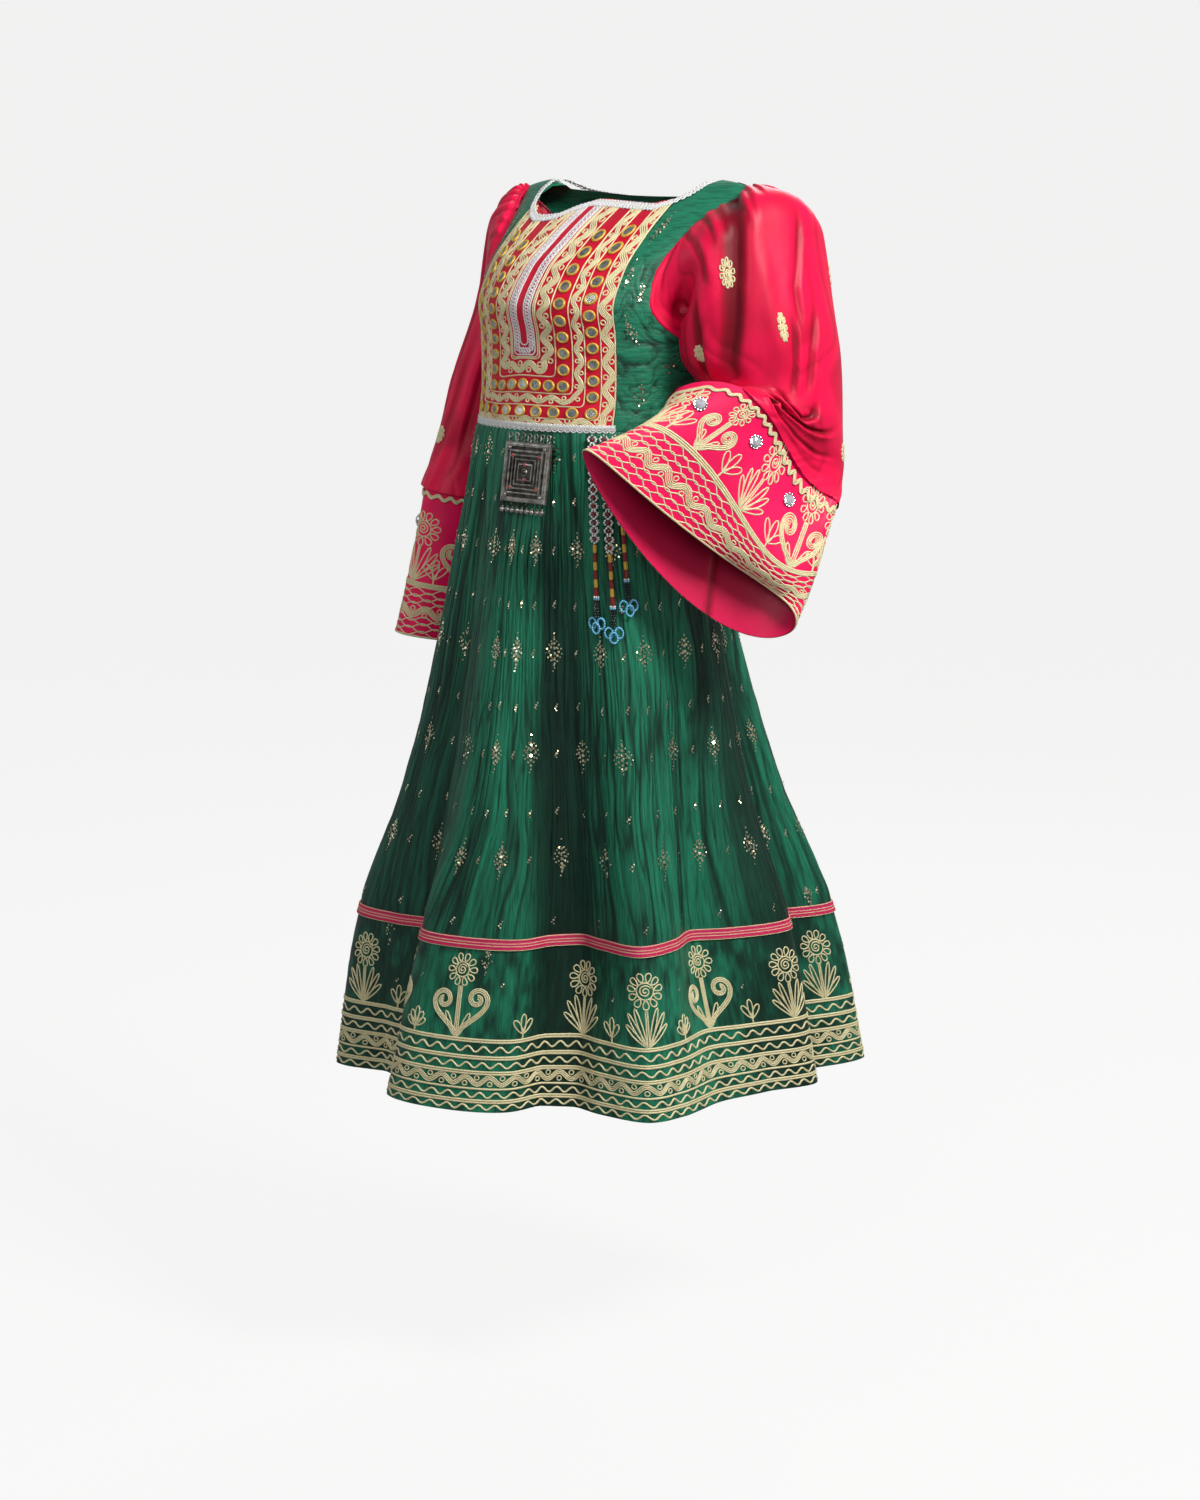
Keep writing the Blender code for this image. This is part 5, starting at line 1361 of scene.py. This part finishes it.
def make_cuff_work(name, surface, hand):
    """Gold cord on a cuff: two nets with a vine between, motifs above, rickrack at the seam."""
    ring = np.linspace(0, 1, 801)
    rim = surface(ring, np.ones(801))
    rim_s = lengths(rim)
    around = rim_s[-1]
    length = np.linalg.norm(rim - surface(ring, np.zeros(801)), axis=1)
    high = 0.142 if hand > 0 else float(np.mean(length))

    def on_cuff(flat):
        a = np.interp(flat[:, 0] % around, rim_s, ring)
        b = 1 - flat[:, 1] / high
        return raised(surface, a, b, SLEEVE_STEPS, hand, cuff_rise(hand, a, b))

    def on_seam(flat):
        a = np.interp(flat[:, 0] % around, rim_s, ring)
        return raised(surface, a, flat[:, 1] / np.interp(a, ring, length), SLEEVE_STEPS, hand, 0.0030)

    cords = Cords()
    for level in (0.0006, 0.0625, 0.0648, 0.0671):
        cords.add(line(around, level)[:-1], 0.0013, True)
    mesh = around / round(around / 0.033)
    for k, level in enumerate((0.0044, 0.0090, 0.0136, 0.0182, 0.0226,
                               0.0396, 0.0440, 0.0486, 0.0532, 0.0578)):
        path = wave(around, level, 0.0033, mesh, 0.0022, 0.0, math.pi * (k % 2))
        path[:, 1] += 0.0005 * np.sin(path[:, 0] * 57 + 1.7 * k) * np.sin(np.linspace(0, np.pi, len(path)))
        cords.add(path[:-1], 0.00088, True)
    vine(cords, line(around, 0.0311), 0.0046, around / round(around / 0.034), 0.0028, 4)
    spots = CUFF_MOTIFS[name]
    for k, (a, kind) in enumerate(spots):
        x = float(np.interp(a % 1.0, ring, rim_s))
        size = 1.0 if hand < 0 else 0.78 if a < 0.3 else 0.88
        motif(cords, moved(x, 0.0680, hand * 1.22), kind, size * (0.90 if kind == "scroll" else 1.0))
        gap = (spots[(k + 1) % len(spots)][0] - a + 0.5) % 1.0 - 0.5
        x = float(np.interp((a + gap / 2) % 1.0, ring, rim_s))
        sprig(cords, moved(x, 0.0680, hand * 1.35), 0.032, 3)
    work = cords.make(on_cuff, "cuff_cords_" + name)
    cords = Cords()
    tooth = around / round(around / 0.0185)
    for step in (-0.0014, 0.0, 0.0014):
        cords.add(wave(around, 0.0062 + step, 0.0021, tooth, 0.0018)[:-1], 0.0010, True)
    rick = cords.make(on_seam, "rickrack_cords_" + name, "rickrack_" + name)
    return (work, rick) + tuple(make_stones(name, surface, hand))


# Large stones: sides, rings of radius and height in mm, and look, for the setting and the stone
STONE_PARTS = (
    (16, ((7.6, 0.2), (7.6, 1.0), (6.9, 1.5), (6.2, 1.3)), 0),
    (8, ((6.3, 1.2), (5.6, 2.9), (3.0, 4.2)), 1),
)


def make_stones(name, surface, hand):
    """Large cut stones in metal settings."""
    items = []
    for k, (a, b) in enumerate(CRYSTAL_PLACES[name]):
        a, b = np.array([a]), np.array([b])
        centre = surface(a, b)[0]
        out = hand * normals(surface, a, b, *SLEEVE_STEPS)[0]
        along = unit(surface(a, b + 0.02)[0] - centre)
        across = np.cross(out, along)
        centre = centre + out * (CLOTH + 0.0002)

        def circle(radius, turn):
            return radius * (np.cos(turn)[:, None] * along + np.sin(turn)[:, None] * across)

        piece = Build()
        for around, profile, kind in STONE_PARTS:
            turn = ring_turns(around)
            rings = [centre + 0.001 * (circle(r, turn + np.pi / around * (j % 2) * kind) + h * out)
                     for j, (r, h) in enumerate(profile)]
            piece.add(np.concatenate(rings), grid_faces(len(profile), around, True), kind)
            if kind:
                piece.add(rings[-1], np.arange(around)[None], kind)
        add_balls(piece, centre + circle(0.0073, ring_turns(12)) + 0.0011 * out, 0.0010, 0, 6, 4)
        label = "%s_%d" % (name, k + 1)
        items.append(piece.make("stone_" + label, ["setting", "stone"], "crystal", "crystal_" + label,
                                shade=False))
    return items


# Trims
def make_neck_trim():
    """White looped edging around the neck, on a ribbon."""
    front = scaled([122.5, 119.5, 116, 108, 90, 68, 46, 22, 0, -22, -40, -58, -78, -96, -109, -116, -119.5,
                    -122.5], 1000)
    back = scaled([-121, -115, -100, -78, -55, -28, 0, 28, 55, 78, 100, 115, 121], 1000)
    edge, low = (np.concatenate([neck_points(-1, front, width), neck_points(1, back, width)])
                 for width in (0.0, TRIM_WIDTH))
    along = np.roll(edge, -1, axis=0) - np.roll(edge, 1, axis=0)
    out = unit(np.cross(along, low - edge))
    rough = (edge + low) / 2 + 0.15 * UP
    out = out * np.where(np.sum(out * rough, -1, keepdims=True) < 0, -1.0, 1.0)
    loop = [np.concatenate([item, item[:1]]) for item in (edge, low, out)]
    far = lengths(loop[0])
    total = far[-1]
    near = CLOTH / 2 + 0.0009

    def on_neck(flat):
        s = flat[:, 0] % total
        top, foot, way = (np.stack([np.interp(s, far, item[:, c]) for c in range(3)], -1) for item in loop)
        way = unit(way)
        return top + (foot - top) * (flat[:, 1] / TRIM_WIDTH)[:, None] + way * near, way

    piece = Build()
    s, w = np.meshgrid(np.linspace(0, total, 301)[:-1], [0.0016, 0.0030, 0.0044])
    piece.add(on_neck(np.stack([s.ravel(), w.ravel()], -1))[0], grid_faces(3, 300, True))
    cords = Cords()
    for phase in (0.0, math.pi):
        loops = wave(total, 0.0040, 0.0036, total / round(total / 0.0098), 0.0014, 0.0, phase)
        cords.add(loops[:-1], 0.00095, True)
    cords.add(line(total, 0.0018)[:-1], 0.0008, True)
    cords.lay(piece, on_neck)
    return piece.make("neck_edging", ["white"], "white_trim", "neck_trim")


def make_waist_trim():
    """White scalloped edging along the foot of the bib."""
    cords = Cords()
    long = 2 * BIB_HALF_ARC * 1.02
    number = round(long / 0.0078)
    u = np.linspace(0, np.pi, 8)
    for k in range(number):
        x = -long / 2 + (k + 0.5) * long / number
        arc = np.stack([x + 0.0040 * np.cos(u), 0.0032 - 0.0052 * np.sin(u)], -1)
        cords.add(arc, 0.0008)
        cords.add(arc * 0.5 + np.array([x, 0.0032]) * 0.5, 0.0007)
    for phase in (0.0, math.pi):
        cords.add(wave(long, 0.0052, 0.0022, 0.0078, 0.0013, -long / 2, phase), 0.00085)
    cords.add(line(long, 0.0052, -long / 2), 0.0009)
    piece = Build()
    s, t = np.meshgrid(np.linspace(-long / 2, long / 2, 80), [0.0030, 0.0052, 0.0074])
    spots, way = on_bib(np.stack([s.ravel(), t.ravel()], -1))
    piece.add(spots + way * 0.0008, grid_faces(3, 80))
    cords.lay(piece, on_bib, 0.0011)
    return piece.make("waist_edging", ["white"], "white_trim", "waist_trim")


# Pendant

# Steps of its plate from the rim inwards in mm: inset, y, and look of the next stretch
PLATE_STEPS = [
    (0.0, 1.5, 0), (0.0, -1.5, 0), (1.2, -3.0, 0), (5.2, -3.0, 0), (5.8, -1.8, 1), (8.8, -1.8, 0),
    (9.4, -3.4, 0), (11.4, -3.4, 1), (12.0, -2.2, 1), (14.2, -2.2, 0), (14.6, -3.0, 0), (16.0, -3.0, 1),
    (16.6, -1.8, 1), (19.0, -1.8, 0), (19.4, -3.0, 0), (20.8, -3.0, 1), (21.4, -1.6, 1), (24.0, -1.6, 0),
    (24.5, -3.0, 0), (26.0, -3.2, 1),
]


def tilted(points):
    """From the pendant's own directions, x along its hinge and z up, to the dress's."""
    x, y, z = np.moveaxis(np.asarray(points, float), -1, 0)
    tilt = -math.radians(PENDANT_TILT)
    return np.stack([x, y * math.cos(tilt) - z * math.sin(tilt), y * math.sin(tilt) + z * math.cos(tilt)], -1)


def hung(points):
    return tilted(points) + np.array(PENDANT)


def plate_ring(inset, y):
    w = PLATE_HALF_WIDTH - inset
    top, foot = -LINK_DROP - inset, -LINK_DROP - PLATE_HEIGHT + inset
    return [(-w, y, foot), (w, y, foot), (w, y, top), (-w, y, top)]


def make_pendant():
    piece = Build()
    rings = [hung(plate_ring(inset / 1000, y / 1000)) for inset, y, kind in PLATE_STEPS]
    for k, (inset, y, kind) in enumerate(PLATE_STEPS[:-1]):
        piece.add(np.concatenate([rings[k], rings[k + 1]]), grid_faces(2, 4, True, True), kind)
    piece.add(rings[-1], [[0, 1, 2, 3]], 1)
    piece.add(rings[0], [[3, 2, 1, 0]], 1)
    piece.make("pendant_plate", ["silver", "dark"], "silver_metal", "pendant", "pendant", False)

    work = Build()
    side, face, up = tilted((1, 0, 0)), tilted((0, -1, 0)), tilted(UP)
    for inset, y, size, gap in ((0.0032, -0.0032, 0.00085, 0.0019), (0.0104, -0.0036, 0.0006, 0.0014),
                                (0.0153, -0.0031, 0.0005, 0.0013), (0.0201, -0.0031, 0.0005, 0.0013)):
        corners = np.array(plate_ring(inset, y))
        beads = []
        for a, b in zip(corners, np.roll(corners, -1, axis=0)):
            number = int(np.linalg.norm(b - a) / gap)
            beads += [a + (b - a) * j / number for j in range(number)]
        add_balls(work, hung(beads), size, 0, 6, 4)
    w = PLATE_HALF_WIDTH - 0.0072
    middle = -LINK_DROP - PLATE_HEIGHT / 2
    high = PLATE_HEIGHT / 2 - 0.0072
    bosses = [(sx * w, -0.0026, middle + sz * high) for sx in (-1, 1) for sz in (-1, 1)]
    add_balls(work, hung(bosses), 0.0027, 0, 12, 8)
    for spot in bosses:
        add_ring(work, hung(spot), face, 0.0031, 0.0005, 0, 16, 5)
    for x, z in ((-0.0215, 0.0180), (0.0215, -0.0180), (0.0215, 0.0180), (-0.0215, -0.0180),
                 (0.0, 0.0085), (0.0, -0.0085)):
        add_balls(work, hung((x, -0.0028, middle + z)), 0.0021, 1, 10, 6)
        add_ring(work, hung((x, -0.0030, middle + z)), face, 0.0023, 0.0005, 0, 14, 5)
    add_balls(work, hung((0, -0.0028, middle)), 0.0036, 2, 12, 8)
    add_ring(work, hung((0, -0.0033, middle)), face, 0.0039, 0.0006, 0, 20, 5)
    links = 7
    for k in range(links):
        x = (k - (links - 1) / 2) * 2 * PLATE_HALF_WIDTH / links
        add_ring(work, hung((x, -0.0005, -0.0034)), face, 0.0027, 0.00075, 0, 16, 6)
        add_ring(work, hung((x, -0.0005, -0.0078)), side, 0.0024, 0.00070, 0, 14, 6)
        add_balls(work, hung((x, -0.0018, -0.0056)), 0.0012, 0, 8, 5)
    bells = 9
    foot = -LINK_DROP - PLATE_HEIGHT
    for k in range(bells):
        x = (k - (bells - 1) / 2) * 2 * PLATE_HALF_WIDTH / bells
        add_ring(work, hung((x, 0, foot - 0.0010)), side, 0.0014, 0.0005, 2, 12, 5)
        add_ring(work, hung((x, 0, foot - 0.0035)), face, 0.0014, 0.0005, 2, 12, 5)
        add_balls(work, hung((x, 0, foot - 0.0094)), 0.0034, 0, 12, 8)
        add_balls(work, hung((x, 0, foot - 0.0058)), 0.0012, 0, 8, 5)
        add_ring(work, hung((x, 0, foot - 0.0094)), up, 0.0034, 0.00045, 0, 14, 5)
    work.make("pendant_fittings", ["silver", "red_stone", "dark"], "silver_metal", None, "pendant")


# Bead strands: place in the fold table, and length
STRANDS = [(11.31, 0.225), (11.82, 0.235), (12.30, 0.205)]
STRAND_LIFT = 0.0082
TUBE_LENGTH = 0.058


def on_strand(fold):
    """Function that gives places beside a strand by height, offset across and offset outwards."""
    def at(z, side=0.0, out=0.0):
        z, side, out = np.broadcast_arrays(np.atleast_1d(np.asarray(z, float)), side, out)
        a = np.full(z.shape, fold)
        way = normals(skirt, a, z, *SKIRT_STEPS)
        cross = unit(np.cross(way, UP))
        return skirt(a, z) + way * (STRAND_LIFT + out)[:, None] - cross * side[:, None]
    return at


def make_strands():
    """Netted white beads, striped tubes, dark beads and light blue loops, strand by strand."""
    piece = Build()
    mesh = 0.0092
    blocks = 6
    for fold, length in STRANDS:
        at = on_strand(fold)
        top, foot = -0.274, WAIST_Z - length
        net = foot + 0.100
        z = np.arange(top, net, -0.0021)
        swing = 0.0046 * np.sin(np.pi * (top - z) / mesh)
        for way in (-1, 1):
            add_balls(piece, at(z, way * swing, 0.0010), 0.0013, 0, 6, 4)
            add_balls(piece, at(z, way * swing, -0.0018), 0.0012, 0, 6, 4)
        add_balls(piece, at(np.arange(top - mesh / 2, net, -mesh)), 0.0022, 1, 8, 6)
        turn = ring_turns(10)
        circle = np.stack([np.cos(turn), np.sin(turn), 0 * turn], -1)
        for k in range(blocks):
            levels = net - np.array([k + 0.03, k + 0.5, k + 0.97]) * TUBE_LENGTH / blocks
            rings = [at(z)[0] + wide * circle for z, wide in zip(levels, (0.0024, 0.0027, 0.0024))]
            piece.add(np.concatenate(rings), grid_faces(3, 10, True, True), 2 if k % 2 == 0 else 1)
        low = net - TUBE_LENGTH
        for kind, level in ((0, low - 0.0012), (4, low - 0.0032)):
            for turn in ring_turns(6):
                add_balls(piece, at(level, 0.0026 * math.cos(turn), 0.0026 * math.sin(turn)), 0.0012, kind)
        for j, level in enumerate(np.linspace(low - 0.0052, foot + 0.0190, 7)):
            for turn in ring_turns(5) + 0.6 * j:
                add_balls(piece, at(level, 0.0024 * math.cos(turn), 0.0024 * math.sin(turn)), 0.0013, 3)
        for side, tip, lean in ((-0.0060, 0.0110, 0.0), (0.0060, 0.0115, 0.001), (0.0, 0.0060, 0.0030)):
            for turn in ring_turns(14):
                spot = at(foot + tip + 0.0060 * math.sin(turn), side + 0.0046 * math.cos(turn), lean)
                add_balls(piece, spot, 0.00140, 4, 6, 4)
    looks = ["bead_white", "bead_red", "bead_gold", "bead_black", "bead_blue"]
    piece.make("beads_of_strands", looks, "glass_bead", "bead_strands")


# Stage, light and camera
FLOOR_Z = -1.43
FLOOR_HALF_WIDTH = 40.0
WALL_RADIUS = 38
WALL_LEVELS = (-1.5, 30.0)
WALL_SIDES = 96
LAMPS = [
    ("key", (2.6, -0.1, 1.7), 0.9, 118, (1.0, 0.99, 0.97)),
    ("front", (1.6, -2.9, 1.5), 1.4, 30, (1.0, 1.0, 1.0)),
    ("left", (-2.0, -1.7, 0.8), 1.6, 6, (0.95, 0.97, 1.0)),
    ("rear", (-1.2, 2.5, 1.2), 1.6, 36, (1.0, 1.0, 1.0)),
]


def make_stage():
    """Evenly glowing floor and backdrop, hidden from the light on the dress, and four lamps."""
    link = bpy.context.scene.collection.objects.link
    floor = [(x * FLOOR_HALF_WIDTH, y * FLOOR_HALF_WIDTH, FLOOR_Z)
             for x, y in ((-1, -1), (1, -1), (1, 1), (-1, 1))]
    turn = ring_turns(WALL_SIDES)
    wall = [(WALL_RADIUS * math.cos(t), WALL_RADIUS * math.sin(t), z) for z in WALL_LEVELS for t in turn]
    for name, points, faces, tone, rough, glow in (
            ("floor", floor, [(0, 1, 2, 3)], 0.08, 0.9, 0.862),
            ("backdrop", wall, grid_faces(2, WALL_SIDES, True).tolist(), 0.0, 1.0, 0.885)):
        mesh = bpy.data.meshes.new(name)
        mesh.from_pydata(points, [], faces)
        mesh.materials.append(material(name + "_paper", (tone, tone, tone), rough, 0.0, {
            "Specular IOR Level": 0.0, "Emission Color": (1.0, 1.0, 0.995, 1.0),
            "Emission Strength": glow})[0])
        item = bpy.data.objects.new(name, mesh)
        link(item)
        item.visible_diffuse = item.visible_glossy = item.visible_shadow = False
    world = bpy.data.worlds.new("studio")
    bpy.context.scene.world = world
    world.use_nodes = True
    settle(world.node_tree.nodes["Background"], {"Color": (0.95, 0.97, 1.0, 1), "Strength": 0.30})
    bpy.context.scene.view_settings.view_transform = "Standard"
    for name, place, size, power, colour in LAMPS:
        light = bpy.data.lights.new(name, "AREA")
        light.shape = "DISK"
        light.size = size
        light.energy = power
        light.color = colour
        lamp = bpy.data.objects.new(name, light)
        link(lamp)
        lamp.location = place
        lamp.rotation_euler = (Vector((0, 0, -0.55)) - Vector(place)).to_track_quat("-Z", "Y").to_euler()


def make_camera():
    """Camera 3.5 m from the dress, 45 degrees to the wearer's left of the front."""
    right = Vector((0.70711, 0.70711, 0.0))
    toward = Vector((0.70711, -0.70711, 0.0))
    tilt, offset, distance = math.radians(11.08), -0.036, 3.5
    ahead = (-toward * math.cos(tilt) - Vector(UP) * math.sin(tilt)).normalized()
    up = right.cross(ahead)
    camera = bpy.data.cameras.new("camera")
    camera.sensor_width = 36
    camera.lens = 2981 / 1500 * 36
    item = bpy.data.objects.new("camera", camera)
    bpy.context.scene.collection.objects.link(item)
    place = Matrix((tuple(right), tuple(up), tuple(-ahead))).transposed().to_4x4()
    place.translation = toward * distance + right * offset + Vector((0, 0, 0.02))
    item.matrix_world = place
    bpy.context.scene.camera = item


make_stage()
make_camera()
front, back = make_skirt()
border_front, border_back = make_border()
braid = make_braid()
skirt_sequins = make_skirt_sequins()
panel_left, panel_right, panel_back = make_bodice()
bodice_sequins = make_bodice_sequins()
bib_cloth, bib_work, mirrors = make_bib()
sleeves = make_sleeves()
sleeve_work = make_sleeve_motifs()
cuffs = make_cuffs()
neck_edging = make_neck_trim()
waist_edging = make_waist_trim()
make_pendant()
make_strands()

# Each sleeve with its cuff's cloth, lining and work
for sleeve_cloth, (cloth, lining, *work) in zip(sleeves, cuffs):
    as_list(work)
